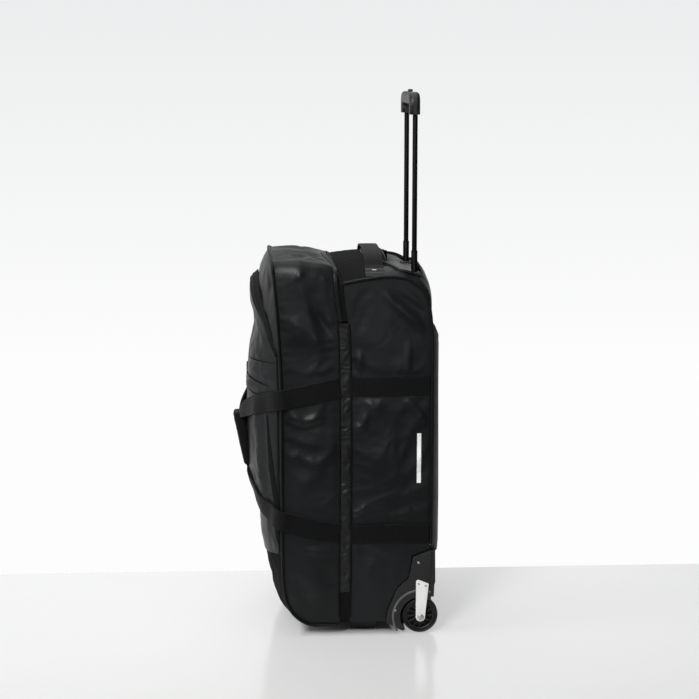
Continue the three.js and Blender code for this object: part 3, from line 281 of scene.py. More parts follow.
def roundedNode(node, look, width, segments=3, **told):  # a CAD solid, cleaned and with its edges rounded
    shape = bmesh.new()
    shape.from_mesh(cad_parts[node].data)
    bmesh.ops.remove_doubles(shape, verts=shape.verts, dist=1e-5)
    bmesh.ops.dissolve_limit(shape, angle_limit=math.radians(1), verts=shape.verts, edges=shape.edges)
    piece = shapeObject(node + "_dressed", shape)
    piece.data.polygons.foreach_set("use_smooth", np.ones(len(piece.data.polygons), bool))
    softEdges(piece, width, segments, 35).harden_normals = True
    dress(piece, look, node, **told)


def joined(name, pieces):  # several meshes as one object
    shape = bmesh.new()
    for piece in pieces:
        shape.from_mesh(piece.data)
        bpy.data.objects.remove(piece)
    return shapeObject(name, shape)


# Materials
def addNode(tree, kind, settings=(), links=()):  # adds a node, sets its own values or its sockets, links its inputs
    node = tree.nodes.new("ShaderNode" + kind)
    for key, value in dict(settings).items():
        if key in node.inputs:
            node.inputs[key].default_value = value
        else:
            setattr(node, key, value)
    for key, source in dict(links).items():
        tree.links.new(source, node.inputs[key])
    return node


def newMaterial(name, colour, roughness, **sockets):  # principled material with its uniform values on the sockets
    material = bpy.data.materials.new(name)
    material.use_nodes = True
    shader = material.node_tree.nodes["Principled BSDF"]
    shader.inputs["Base Color"].default_value = toLinear(colour)
    shader.inputs["Roughness"].default_value = roughness
    for key, value in sockets.items():
        shader.inputs[key.replace("_", " ")].default_value = value
    return material, material.node_tree, shader


def perMetre(sizeMm):  # texture scale for a pattern that repeats every sizeMm
    return 1000 / sizeMm


def objectPlace(tree):
    return addNode(tree, "TexCoord").outputs["Object"]


def noise(tree, place, sizeMm, detail, **more):
    settings = {"Scale": perMetre(sizeMm), "Detail": detail, **more}
    return addNode(tree, "TexNoise", settings, {"Vector": place}).outputs["Fac"]


def twoTones(tree, share, first, second, target, start=0.0, end=1.0):  # ramp from one colour to another into a socket
    ramp = addNode(tree, "ValToRGB", (), {"Fac": share})
    for stop, place, colour in zip(ramp.color_ramp.elements, (start, end), (first, second)):
        stop.position, stop.color = place, toLinear(colour)
    tree.links.new(ramp.outputs["Color"], target)


def varyRoughness(tree, shader, share, low, high):
    rough = addNode(tree, "MapRange", {"To Min": low, "To Max": high}, {"Value": share})
    tree.links.new(rough.outputs["Result"], shader.inputs["Roughness"])


def addBump(tree, shader, strength, deep, height):  # relief on top of any that the shader has
    bump = addNode(tree, "Bump", {"Strength": strength, "Distance": deep}, {"Height": height})
    for older in list(shader.inputs["Normal"].links):
        tree.links.new(older.from_socket, bump.inputs["Normal"])
    tree.links.new(bump.outputs["Normal"], shader.inputs["Normal"])


# Polyester scrim under a calendered vinyl skin: soft gloss, fine grain, handling creases
def coatedTarpaulin(name, colour, pale, roughness, gloss):
    look = {"grainMm": 2.4, "creaseMm": 26, "patchMm": 150, "grainDeep": 0.00009, "creaseDeep": 0.0009}
    material, tree, shader = newMaterial(name, colour, roughness, Specular_IOR_Level=gloss)
    place = objectPlace(tree)
    patch = noise(tree, place, look["patchMm"], 4.0)
    twoTones(tree, patch, colour, pale, shader.inputs["Base Color"], 0.3, 0.72)
    varyRoughness(tree, shader, patch, roughness - 0.06, roughness + 0.1)
    crease = noise(tree, place, look["creaseMm"], 3.0, Distortion=0.8, noise_type="RIDGED_MULTIFRACTAL")
    grain = addNode(tree, "TexVoronoi", {"Scale": perMetre(look["grainMm"])}, {"Vector": place})
    addBump(tree, shader, 0.35, look["creaseDeep"], crease)
    addBump(tree, shader, 0.5, look["grainDeep"], grain.outputs["Distance"])
    return material


def wovenWebbing(name, colour, pale):  # nylon webbing: ribs across and ends along it, a little coarse so that they show
    look = {"ribMm": 3.2, "endMm": 3.0, "deep": 0.0005, "waveUnit": 6.283}
    material, tree, shader = newMaterial(name, colour, 0.82, Sheen_Weight=0.05, Sheen_Roughness=0.5,
                                         Specular_IOR_Level=0.12)
    place = addNode(tree, "UVMap", {"uv_map": "cloth"}).outputs["UV"]
    ribs, ends = (addNode(tree, "TexWave", {"Scale": perMetre(look[size]) / look["waveUnit"], "Distortion": 0.6,
                                            "bands_direction": axis}, {"Vector": place}).outputs["Fac"]
                  for size, axis in (("ribMm", "X"), ("endMm", "Y")))
    weave = addNode(tree, "Math", {"operation": "MULTIPLY"}, {0: ribs, 1: ends}).outputs["Value"]
    twoTones(tree, weave, colour, pale, shader.inputs["Base Color"])
    addBump(tree, shader, 0.6, look["deep"], weave)
    return material


def mouldedPlastic(name, colour, pale, roughness):  # injection-moulded: spark-eroded grain and rubbed high spots
    look = {"grainMm": 1.4, "deep": 0.00012, "patchMm": 40}
    material, tree, shader = newMaterial(name, colour, roughness, Specular_IOR_Level=0.4)
    place = objectPlace(tree)
    patch = noise(tree, place, look["patchMm"], 5.0)
    twoTones(tree, patch, colour, pale, shader.inputs["Base Color"], 0.35, 0.75)
    varyRoughness(tree, shader, patch, roughness - 0.08, roughness + 0.1)
    addBump(tree, shader, 0.5, look["deep"], noise(tree, place, look["grainMm"], 2.0))
    return material


def metalFinish(name, colour, pale, roughness, metallic, smearMm, shine=0.5):  # faint smears and hairlines along Z
    material, tree, shader = newMaterial(name, colour, roughness, Metallic=metallic, Specular_IOR_Level=shine)
    along = addNode(tree, "Mapping", {"Scale": (1.0, 1.0, 0.06)}, {"Vector": objectPlace(tree)})
    smear = noise(tree, along.outputs["Vector"], smearMm, 6.0)
    twoTones(tree, smear, colour, pale, shader.inputs["Base Color"], 0.3, 0.75)
    varyRoughness(tree, shader, smear, roughness - 0.06, roughness + 0.12)
    return material


def printedInk(name, colour, worn):  # screen-printed ink, slightly broken by the cloth grain under it
    material, tree, shader = newMaterial(name, colour, 0.6)
    twoTones(tree, noise(tree, objectPlace(tree), 3.0, 3.0), worn, colour, shader.inputs["Base Color"], 0.25, 0.6)
    return material


clothLook = coatedTarpaulin("coatedTarpaulin", "#0f1011", "#17191a", 0.4, 0.18)
hingeLook = coatedTarpaulin("coatedTarpaulinStrip", "#0f1011", "#181919", 0.5, 0.25)
matteLook = coatedTarpaulin("polyesterRipstop", "#0c0c0c", "#131313", 0.85, 0.08)
pipingLook = coatedTarpaulin("clothPiping", "#090a0a", "#101111", 0.42, 0.14)
backLook = mouldedPlastic("backPolyethylene", "#4e4e50", "#5a5a5c", 0.5)
webbingLook = wovenWebbing("nylonWebbing", "#060606", "#101010")
zipLook = wovenWebbing("zipTape", "#050505", "#0e0e0e")
plasticLook = mouldedPlastic("mouldedNylon", "#0c0c0c", "#161616", 0.5)
trayLook = mouldedPlastic("trayPolypropylene", "#4b4b4c", "#595a5a", 0.55)
gripLook = mouldedPlastic("gripPolypropylene", "#0e0e0f", "#171718", 0.45)
rubberLook = mouldedPlastic("wheelPolyurethane", "#0c0c0c", "#171717", 0.55)
tubeLook = metalFinish("powderCoatedTube", "#030303", "#060606", 0.5, 0.0, 30, 0.09)
bracketLook = metalFinish("paintedBracketSteel", "#dededc", "#e9e9e7", 0.4, 0.0, 12)
steelLook = metalFinish("zincPlatedSteel", "#9c9d9b", "#c4c5c2", 0.32, 1.0, 4)
inkLook = printedInk("whitePrint", "#f6f6f4", "#dcdcdc")
threadLook = wovenWebbing("sewingThread", "#1a1a1a", "#2c2c2c")
print("materials ready")

# Body tables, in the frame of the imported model
body = {"half": 196, "sideFace": 194.5, "gussetHalf": 191.4, "footZ": 27.2, "shoulderZ": 725, "zipHalf": 10,
        "cloth": 2.5, "seam": 0.6, "topEnd": 0.3, "cornerEnd": 0.42}
archLidFront = {"half": 196, "top": 796, "drop": 9, "power": 2, "corner": 24, "sag": 9}
archLidZip = {"half": 196, "top": 785, "drop": 9, "power": 2, "corner": 24, "sag": 9}
archBaseZip = {"half": 195, "top": 777, "drop": 35, "power": 3.2, "corner": 10, "sag": 0}
strapLevels = {"upper": 530, "lower": 218}


def topSag(y, z):  # share of the lid's sag: its top is slack on the far side
    return easeStep(-172, 143, y) * easeStep(725, 776, z)


def cornerShare(s):  # 0 to 1 round the corner of an arch
    return held((s - body["topEnd"]) / (body["cornerEnd"] - body["topEnd"]))


# Place on an arch: s 0 at the top's middle, 1 at the foot; parabola, rounded corner, upright side
def archPoint(arch, s):
    side, s = np.sign(s), np.abs(s)
    drop, corner, shoulder = arch["drop"], arch["corner"], body["shoulderZ"]
    flat, edgeZ = arch["half"] - corner, arch["top"] - drop
    share, t = held(s / body["topEnd"]), cornerShare(s)
    tip = edgeZ - drop * arch["power"] * corner / flat
    y = share * flat + (1 - (1 - t) ** 2) * corner
    bend = (1 - t) ** 2 * edgeZ + 2 * t * (1 - t) * tip + t * t * shoulder
    z = np.where(t > 0, bend, arch["top"] - drop * share ** arch["power"])
    z = z - arch["sag"] * topSag(side * y, z)
    down = held((s - body["cornerEnd"]) / (1 - body["cornerEnd"]))
    return y, z - down * (shoulder - body["footZ"])


def sideShare(z):  # share along the arch at a height on its upright side
    return mix(body["cornerEnd"], 1, (body["shoulderZ"] - z) / (body["shoulderZ"] - body["footZ"]))


def evenShares(arch, spacing, end=1.0):  # shares at even steps along an arch
    s = np.linspace(-end, end, 4000)
    y, z = archPoint(arch, s)
    run = runLength(np.stack([y * np.sign(s), z], 1))
    return np.interp(np.linspace(0, run[-1], int(run[-1] / spacing)), run, s)[:, None]


zipLean = [(27, 18), (600, 18), (640, 17), (700, 9), (725, 6)]
lidEdgeRows = [(27.2, -50), (38, -72.5), (54, -90), (76, -101), (110, -108), (160, -110), (530, -110.4), (640, -115.4),
               (690, -118.4), (725, -121)]


def alongArch(arch, s, rows, middle, corner):  # X along an arch: from its table on the sides, eased over the top
    s = np.abs(s)
    t = cornerShare(s)
    top = mix(middle, corner, held(s / body["topEnd"]) ** 2)
    low = np.where(t < 1, mix(corner, rows[-1][1], t), smoothTable(rows, archPoint(arch, s)[1]))
    return np.where(s <= body["topEnd"], top, low)


def zipMiddle(s):
    return alongArch(archLidZip, s, zipLean, -13, 3)


def strapFree(z):  # 0 under the webbing, 1 well away from it
    return easeStep(22, 34, np.minimum(np.abs(z - strapLevels["upper"]), np.abs(z - strapLevels["lower"])))


def seamPuckers(along, across, low, high, seed):  # short gathers that run out from the two sewn edges of a panel
    near = latticeNoise(along / 13, 0 * along, seed) * np.exp(-np.abs(across - low) / 16)
    return (near + latticeNoise(along / 15, 0 * along, seed + 1) * np.exp(-np.abs(high - across) / 18)) * 4.5


# Lid half: gusset round the bag, front panel, pocket
lidFolds = [  # on the side, in X and Z
    (-70, 764, -78, 748, 6, 3.0), (-26, 756, -20, 742, 6, 2.6), (-44, 684, -12, 638, 9, -4.5),
    (-92, 672, -52, 626, 24, 4.0), (-48, 640, -34, 618, 10, 3.6), (-34, 626, -2, 628, 6, 2.6),
    (-30, 610, -2, 613, 6, 2.4), (-14, 674, -8, 656, 6, 2.6), (-6, 576, -36, 552, 9, 3.2),
    (-102, 548, -92, 532, 8, 3.4), (-60, 548, -40, 552, 7, 2.2), (-98, 474, -66, 455, 9, 5.0),
    (-66, 455, -32, 466, 9, 4.6), (-90, 440, -30, 446, 16, -3.2), (-97, 392, -85, 376, 6, 2.8),
    (-84, 397, -73, 384, 6, 2.4), (-60, 384, -40, 358, 12, 3.0), (-40, 358, -14, 392, 12, 3.0),
    (-96, 300, -40, 350, 20, 3.0), (-26, 282, -4, 292, 7, 2.6), (-70, 160, -16, 84, 24, 3.4),
    (-92, 130, -50, 60, 16, -2.6), (-8, 480, -4, 270, 10, 1.8), (-60, 190, -10, 178, 10, 2.6)]
lidForm = {"insideX": -40, "spacing": 4.0, "wide": 118, "topMiddle": -133.5, "topCorner": -128,
           "swell": 5, "footMm": 60}


def lidGrid():
    s = evenShares(archLidFront, lidForm["spacing"])
    u = np.linspace(0, 1, int(lidForm["wide"] / lidForm["spacing"]))[None]
    ay, az = archPoint(archLidFront, s)
    by, bz = archPoint(archLidZip, s)
    edgeX = alongArch(archLidFront, s, lidEdgeRows, lidForm["topMiddle"], lidForm["topCorner"])
    x = mix(edgeX, zipMiddle(s) - body["zipHalf"] - body["seam"], u)
    y, z = np.sign(s) * mix(ay, by, u), mix(az, bz, u)
    swell = np.sin(math.pi * u)
    far = s > 0
    creases = crumple(x + 300 * far, z, (70, 11, 3.0)) + crumple(x + 500 * far, z, (27, 23, 0.7))
    creases = creases + seamPuckers(z, x, edgeX, zipMiddle(s), 17)
    side = foldField(lidFolds, x, z) * 1.3 * strapFree(z) + creases * (0.35 + 0.65 * strapFree(z))
    onSide = easeStep(body["topEnd"] * 0.93, body["cornerEnd"], np.abs(s))
    detail = mix(crumple(x, y, (62, 31, 6.0)), side, onSide) * swell ** 0.6
    out = (lidForm["swell"] * swell + detail) * held((z - body["footZ"]) / lidForm["footMm"])
    p = np.stack([x, y, z], 2)
    return p + levelNormals(p, lidForm["insideX"]) * out[..., None]


def bandPiece(name, outer, base, insideX, thick):  # band round the bag, thickened inwards without a step along X
    return wallPiece(name, outer, base - levelNormals(base, insideX) * thick)


lidOuter = lidGrid()
dress(bandPiece("lidGusset", lidOuter, lidOuter, lidForm["insideX"], body["cloth"]), clothLook, "lid_gusset")

frontRows = np.array([  # place at the rim (x, z), half width, place at the middle (x, z)
    (7, 24.2, 195, 7, 24), (-25, 24, 196, -45, 23.6), (-52, 24.6, 196, -90, 25), (-74, 35, 196, -113, 37),
    (-91, 52, 196, -128, 64), (-102, 76, 196, -137, 104), (-108, 112, 196, -144, 160), (-110, 165, 196, -149, 215),
    (-110, 250, 196, -154, 290), (-110, 340, 196, -157, 370), (-110, 440, 196, -158, 455),
    (-110.5, 530, 196, -157, 535), (-115, 630, 196, -156, 630), (-119, 690, 196, -157, 700),
    (-122, 728, 195.8, -155, 742), (-125, 763, 191.5, -149, 770), (-127, 777, 185, -142, 785.5),
    (-129, 787, 140, -134, 796.5)])
frontFolds = [  # on the front, in Y and Z
    (-188, 640, -150, 560, 14, 3.5), (-190, 760, -150, 700, 12, -3), (188, 640, 150, 560, 14, 3.5),
    (-186, 170, -60, 140, 18, 3), (180, 150, 40, 180, 18, 3), (-170, 90, 150, 96, 16, -3)]
frontSize = {"rows": 240, "cols": 100}


def frontGrid(rowCount, colCount):
    run = runLength(frontRows[:, :2])
    columns = smoothColumns(run, frontRows, np.linspace(0, run[-1], rowCount))
    xRim, zRim, half, xMid, zMid = (column[:, None] for column in columns)
    u = np.linspace(-1, 1, colCount)[None]
    rim = np.abs(u) ** 2.6
    y, z = u * half, mix(zMid, zRim, rim)
    return np.stack([mix(xMid, xRim, rim), y, z - archLidFront["sag"] * topSag(y, z)], 2)


def shares(p):  # places in a grid: 0 to 1 along its rows, -1 to 1 along its columns
    return np.linspace(0, 1, p.shape[0])[:, None], np.linspace(-1, 1, p.shape[1])[None]


def frontDetail(p):  # folds and creases of the front, held flat at its rim
    v, u = shares(p)
    hold = held((1 - np.abs(u)) * 9) * held((1 - v) * 14) * held(v * 14)
    y, z = p[..., 1], p[..., 2]
    high = foldField(frontFolds, y, z) + crumple(y, z, (70, 41, 2.4), (30, 47, 0.8))
    return p + outwards(p, 0) * (high * hold)[..., None]


frontOuter = frontDetail(frontGrid(frontSize["rows"], frontSize["cols"]))
dress(clothPiece("frontPanel", frontOuter, 0, body["cloth"]), clothLook, "front_panel")

pocketForm = {"half": 186, "apexZ": 730, "archDrop": 140, "archPower": 1.7, "footZ": 152, "footDrop": -24, "gap": 1.2,
              "rows": 190, "cols": 200}
column = np.arange(frontSize["cols"])  # matte guard below the pocket, up to just under its foot
guardTop = pocketForm["footZ"] - pocketForm["footDrop"] * np.linspace(-1.05, 1.05, len(column)) ** 2 - 1.5
climb = np.maximum.accumulate(frontOuter[..., 2], axis=0)
lastRow = np.array([np.interp(guardTop[c], climb[:, c], np.arange(len(climb))) for c in column])
row = np.linspace(0, 1, 70)[:, None] * lastRow[None]
whole = np.floor(row).astype(int)
guardBase = mix(frontOuter[whole, column], frontOuter[whole + 1, column], (row - whole)[..., None])
dress(skinPiece("frontGuard", guardBase, outwards(guardBase, 0)), matteLook)

faceTable = frontGrid(400, 61)[60:370]  # upright part of the smooth front


def frontFace(y, z):  # X of the smooth front panel at places, read from the table
    u = np.clip(y.ravel() / body["half"], -1, 1) * 30 + 30
    c = np.minimum(u.astype(int), 59)
    columns = np.stack([np.interp(z.ravel(), faceTable[:, k, 2], faceTable[:, k, 0]) for k in range(61)], 1)
    i = np.arange(z.size)
    return mix(columns[i, c], columns[i, c + 1], u - c).reshape(z.shape)


pocketPuffRows = [(152, 3), (190, 5), (240, 4), (270, 9), (300, 14), (340, 17.5), (400, 18.5), (480, 20), (588, 16),
                  (650, 6), (695, 14), (735, 15)]
pocketFolds = [  # on the pocket, in Y and Z, both sides alike
    (128, 628, 174, 600, 8, 3.5), (60, 586, 186, 592, 11, 3.0), (60, 552, 170, 548, 12, 3.5),
    (20, 514, 120, 516, 10, 4), (60, 660, 130, 640, 14, 3)]
pocketLips = [(30, 569, 186, 577, 14, 2.4), (40, 534, 160, 527, 18, 3.2), (0, 508, 110, 503, 14, 2.6),
              (110, 503, 174, 518, 14, 2.6)]
pleatRows = [  # bellows: distance from the middle, height of the pocket
    (0, 18.5), (70, 17.6), (100, 16.8), (122, 18), (132, 16.5), (140, 12), (148, 8.4), (156, 8), (164, 7.4), (172, 5.6),
    (180, 3.2), (186, 0.5)]


def bump2(y, z, middleZ, halfZ, halfY):  # soft hill in the middle of the pocket
    return np.exp(-((z - middleZ) / halfZ) ** 2 - (y / halfY) ** 2)


def pocketPuff(y, z):  # how far the pocket stands off the panel: swell by height, bellows pleats near the sides
    share = held(np.abs(y) / pocketForm["half"])
    band = easeStep(150, 200, z) * easeStep(505, 465, z)
    middle = smoothTable(pocketPuffRows, z)
    shift = np.clip((440 - z) * 0.1, -4, 14) * np.sin(math.pi * share) ** 0.5
    pleat = smoothTable(pleatRows, np.abs(y) - shift) * middle / pleatRows[0][1]
    push = 4 * bump2(y, z, 405, 70, 50) + 6 * bump2(y, z, 305, 40, 55)  # full behind the carry handle
    return np.maximum(mix(middle * (1 - share ** 3), pleat, band) + push, 0.5)


def pocketGrid():
    v, u = shares(np.empty((pocketForm["rows"], pocketForm["cols"])))
    y = u * pocketForm["half"] + 0 * v
    low = pocketForm["footZ"] - pocketForm["footDrop"] * u ** 2
    z = mix(low, pocketForm["apexZ"] - pocketForm["archDrop"] * np.abs(u) ** pocketForm["archPower"], v)
    hold = held((1 - np.abs(u)) * 16) * held((1 - v) * 14) * held(v * 14)
    clear = 1 - 0.85 * bump2(y, z, 382, 75, 60)  # flatter behind the carry handle
    high = foldField(pocketFolds, np.abs(y), z) + foldField(pocketLips, np.abs(y), z, True)
    high = high + crumple(y, z, (66, 53, 2.4), (26, 59, 0.7))
    puff = pocketPuff(y, z)
    x = frontFace(y, z) - pocketForm["gap"] - body["cloth"] - puff - np.maximum(high, -0.7 * puff) * hold * clear
    return np.stack([x, y, z], 2)


pocketOuter = pocketGrid()
dress(wallPiece("frontPocket", pocketOuter, pocketOuter + (body["cloth"], 0, 0)), clothLook, "front_pocket")
pleatShadeEdges = np.array([  # height, and X of the two edges of a matte black strip laid in the bellows' deep fold: painted shade of the fold
    (186, -119, -116), (205, -124, -116), (235, -126, -116), (262, -126, -116.5), (277, -127, -117), (309, -131, -121),
    (341, -135, -125), (373, -138, -129), (404, -140, -133), (436, -141, -137), (470, -142, -140)])
flankForm = {"cols": 80, "levelCol": 18, "low": 188, "high": 470}
# matte black strips in the bellows' folds on both flanks of the pocket: painted shade
for side, sign in bothSides:
    flank = (pocketOuter if sign < 0 else pocketOuter[:, ::-1])[:, :flankForm["cols"]]
    level = flank[:, flankForm["levelCol"], 2]
    kept = (level > flankForm["low"]) & (level < flankForm["high"])
    flank, level = flank[kept], level[kept]
    inward = np.maximum.accumulate(-flank[..., 0], axis=1) + np.arange(flankForm["cols"]) * 1e-4
    first, last = (column[:, None] for column in smoothColumns(pleatShadeEdges[:, 0], pleatShadeEdges[:, 1:], level))
    wanted = -mix(last, first, np.linspace(0, 1, 9)[None])
    strip = np.array([[np.interp(wanted[k], inward[k], flank[k, :, axis]) for axis in range(3)]
                      for k in range(len(flank))]).transpose(0, 2, 1)
    dress(wallPiece("bellowsFoldShade_" + side, strip + (-0.5, sign * 0.9, 0), strip + (-0.1, sign * 0.2, 0)), matteLook)
print("lid half built")


# Zip between the halves, cloth strips over its lower run, hinge under the bottom
def zipBand(s, u):  # ruled band between the two zip arches
    ay, az = archPoint(archLidZip, s)
    by, bz = archPoint(archBaseZip, s)
    x = zipMiddle(s) + mix(-body["zipHalf"], body["zipHalf"], u)
    return np.stack([x, np.sign(s) * mix(ay, by, u), mix(az, bz, u)], 2)


zipForm = {"lowEnd": 663, "step": 1.0, "toothMm": 3.0, "tape": 2.0, "seamX": 18}  # coil teeth drawn a little coarse
zipShares = evenShares(archLidZip, zipForm["step"], sideShare(zipForm["lowEnd"]))
zipAcross = np.concatenate([np.linspace(0, 0.36, 6), np.linspace(0.40, 0.60, 9), np.linspace(0.64, 1, 6)])[None]
zipBase = zipBand(zipShares, zipAcross)
zipTurn = 2 * math.pi / zipForm["toothMm"] * zipForm["step"] * np.arange(len(zipShares))[:, None]
teeth = 1.5 + 0.7 * np.sin(zipTurn + 3 * np.sign(zipAcross - 0.5))
coil = np.exp(-((zipAcross - 0.5) / 0.075) ** 4) * teeth
hems = 0.5 * sum(np.exp(-((zipAcross - place) / 0.03) ** 2) for place in (0.2, 0.8))
zipOuter = zipBase + outwards(zipBase, 0) * (coil - hems)[..., None]
dress(bandPiece("mainZip", zipOuter, zipBase, 0, zipForm["tape"]), zipLook, "main_zip")

stripForm = {"low": 92, "high": 660, "rows": 560, "cols": 15, "thick": 2.0}
stripZ = np.linspace(stripForm["low"], stripForm["high"], stripForm["rows"])[:, None]
for side, sign in bothSides:  # crinkled strips
    u = np.linspace(0, 1, stripForm["cols"])[None]
    strip = zipBand(sign * sideShare(stripZ), u)
    pucker = crumple(u * 18, stripZ, (19, 61 + sign, 2.6)) + crumple(u * 10, stripZ, (44, 67 + sign, 3.0))
    strip[..., 1] += sign * np.sin(math.pi * u) ** 0.7 * pucker
    piece = bandPiece("zipStrip_" + side, strip, strip, zipForm["seamX"], stripForm["thick"])
    dress(piece, hingeLook, "zip_strip_" + side)

hemForm = {"across": 0.27, "spread": 1.013, "lift": 1.6, "topZ": 740}
hemPath = zipBand(zipShares[::3], np.array([[hemForm["across"]]]))[:, 0] * (1, hemForm["spread"], 1)
hemPath[:, 2] += hemForm["lift"] * (hemPath[:, 2] > hemForm["topZ"])
dress(sweepPiece("zipHem", hemPath, boxSection(4.6, 1.5, 3, 20), (1, 0, 0)), pipingLook, slot="coated_cloth")
cordY = 196.9  # cords on the sides stand this far from the middle
grooveForm = {"low": 40, "high": 658, "steps": 120, "lid": -11.8, "base": 11.6}
grooveZ = np.linspace(grooveForm["low"], grooveForm["high"], grooveForm["steps"])
# matte black cords in the seam grooves beside each strip: painted shade of the grooves
for side, sign in bothSides:
    for edge in ("lid", "base"):
        x = zipMiddle(sideShare(grooveZ)) + grooveForm[edge]
        grooveShade = np.stack([x, np.full(len(x), sign * cordY), grooveZ], 1)
        piece = sweepPiece("stripEdge_%s_%s" % (edge, side), grooveShade, boxSection(1.9, 1.9, 2, 10), (1, 0, 0))
        dress(piece, matteLook, slot="piping")

# Lining behind the zip, so that no seam lets light through
lining = zipBand(evenShares(archLidZip, 8.0), np.repeat([0.0, 1.0], 3)[None])
lining[..., 0] += (-16, -8, 0, 0, 9, 18)
lining = lining * (1.0, 0.974, 0.9935)
dress(wallPiece("zipLining", lining, lining * (1.0, 0.996, 0.999)), zipLook)

hingeHalf = [(195.5, 91.4), (195.5, 60), (195.5, 36), (192, 26.8), (185, 24.6), (60, 24.5)]  # y, z from a side inwards
hingeStops = [(-y, z) for y, z in hingeHalf] + hingeHalf[::-1]
hinge = evenPath([(zipForm["seamX"], y, z) for y, z in hingeStops], 4.0)
hingeOuter = hinge[:, None] + np.linspace(-10, 10, 9)[None, :, None] * (1, 0, 0)
dress(clothPiece("bottomHinge", hingeOuter, zipForm["seamX"], 2.0), matteLook, "bottom_band")

# Base half: gusset over the top, back and bottom, and the side panels
zipSeam = 28.6
backSeam = 195.4
housingX = 102.6
baseRows = np.array([  # place at the side seam (x, z), place at the middle (x, z)
    (14.8, 737, -2.4, 777), (36, 741, 22, 779), (66, 747, 54, 782.5), (101, 752, 92, 785), (130, 751, 124, 785),
    (152, 745, 151, 782), (168, 735.5, 171, 774), (181, 721, 186, 757), (190.5, 697, 194.5, 728),
    (194.5, 661, 197.5, 690), (195.6, 625, 198.4, 645), (196, 530, 198.6, 530), (196, 400, 198.6, 400),
    (196, 280, 198.6, 280), (196, 186, 198.6, 186), (196, 62, 198.6, 62), (188, 38, 190, 37), (168, 27, 170, 26),
    (100, 26, 100, 26), (zipSeam, 26, zipSeam, 26)])
baseForm = {"insideX": 100, "rows": 330, "cols": 100, "topZ": 700}


def baseGrid(colCount):
    run = runLength(baseRows[:, 2:])
    t = np.linspace(0, run[-1], baseForm["rows"])
    xRim, zRim, xMid, zMid = (column[:, None] for column in smoothColumns(run, baseRows, t))
    u = np.linspace(-1, 1, colCount)[None]
    bow = np.abs(u) ** mix(2.0, 3.2, held(t[:, None] / 30))
    return np.stack([mix(xMid, xRim, bow), u * body["gussetHalf"] + 0 * xRim, mix(zMid, zRim, np.abs(u) ** 3.2)], 2)


def baseDetail(p):
    v, u = shares(p)
    x, y, z = p[..., 0], p[..., 1], p[..., 2]
    hold = held((1 - np.abs(u)) * 9) * held(v * 40) * held((z - baseForm["topZ"]) / 20)
    flat = 1 - np.exp(-((x - 80) / 32) ** 6)  # flat under the top handle
    fullCorner = 5 * np.exp(-((z - 712) / 38) ** 2) * easeStep(150, 185, x) * held((1 - np.abs(u)) * 14)
    high = crumple(x, y, (44, 71, 1.6), (20, 73, 0.6)) * hold * flat + fullCorner
    return p + outwards(p, baseForm["insideX"]) * high[..., None]


trayForm = {"front": 109, "back": 180, "half": 164, "backHalf": 126, "sideBack": 167, "corner": 24}
housingCutout = [(housingX, 10), (105.6, 50.6), (127, 101.2), (146, 119.4), (151, 123.2), (158.8, 168.4), (198, 182.6),
                 (215, 182.6), (215, 0), (housingX, 0)]


def trayOutline(grow):
    f, b, h, c, k, m = (trayForm[name] for name in ("front", "back", "half", "corner", "backHalf", "sideBack"))
    edge = [(f - grow, h - c), (f + c, h + grow), (m + grow, h + grow), (b + grow, k + grow)]
    return edge + [(x, -y) for x, y in edge[::-1]]


baseOuter = baseDetail(baseGrid(baseForm["cols"]))
base = clothPiece("baseGusset", baseOuter, baseForm["insideX"], body["cloth"])
cutForm = {"gap": 0.6, "low": 700, "high": 830, "right": (-210, -149.4), "left": (149.4, 210)}
cutAway(base, [prism("trayCut", trayOutline(cutForm["gap"]), cutForm["low"], cutForm["high"], "z"),
               *(prism("housingCut", housingCutout, *cutForm[side], "y") for side, sign in bothSides)])
dress(base, clothLook, "base_gusset")

sideColumns = np.array([  # x, lower end, upper end
    (zipSeam, 27.2, 739), (46, 27.2, 743), (66, 27.2, 747), (88, 27.2, 750.5), (housingX, 27.2, 752), (106, 53, 752),
    (126.6, 102.4, 751), (150.4, 124, 744.4), (158, 169.4, 738), (166, 172.3, 734), (178, 176.4, 720), (187, 180, 698),
    (192.5, 182, 662), (backSeam, 183.2, 622)])
baseFolds = [  # on the base sides, in X and Z
    (66, 728, 42, 700, 8, -4.0), (42, 700, 36, 664, 8, -4.0), (62, 700, 44, 640, 9, -2.6),
    (30, 724, 46, 712, 10, 3.0), (98, 724, 118, 702, 8, 3.2), (118, 702, 178, 650, 9, 4.2),
    (112, 728, 172, 682, 8, -3.0), (138, 728, 184, 692, 7, 3.4), (150, 612, 143, 552, 7, 3.0),
    (134, 580, 128, 556, 6, 2.2), (50, 606, 48, 562, 7, 2.6), (32, 596, 40, 552, 6, -3.0),
    (66, 502, 80, 474, 10, 3.6), (92, 502, 80, 474, 10, 3.2), (146, 506, 180, 456, 10, 3.6),
    (36, 442, 54, 446, 7, 4.4), (54, 446, 63, 474, 7, 4.0), (32, 263, 47, 264, 6, 3.6),
    (47, 264, 62, 277, 6, 4.0), (70, 420, 130, 330, 30, 3.0), (120, 460, 160, 300, 26, -2.6),
    (30, 188, 44, 196, 6, 3.4), (40, 160, 100, 90, 22, 3.0), (60, 180, 130, 150, 14, -2.0)]


sideForm = {"swell": 6, "edge": 3.0, "folds": 1.35, "underStrap": 0.15, "topZ": 745}


def sideSwell(x, z):
    across = np.sin(math.pi * held((x - zipSeam) / (backSeam - zipSeam)))
    up = np.sin(math.pi * held((z - body["footZ"]) / (sideForm["topZ"] - body["footZ"])))
    return np.maximum(0, across * up) ** 0.8


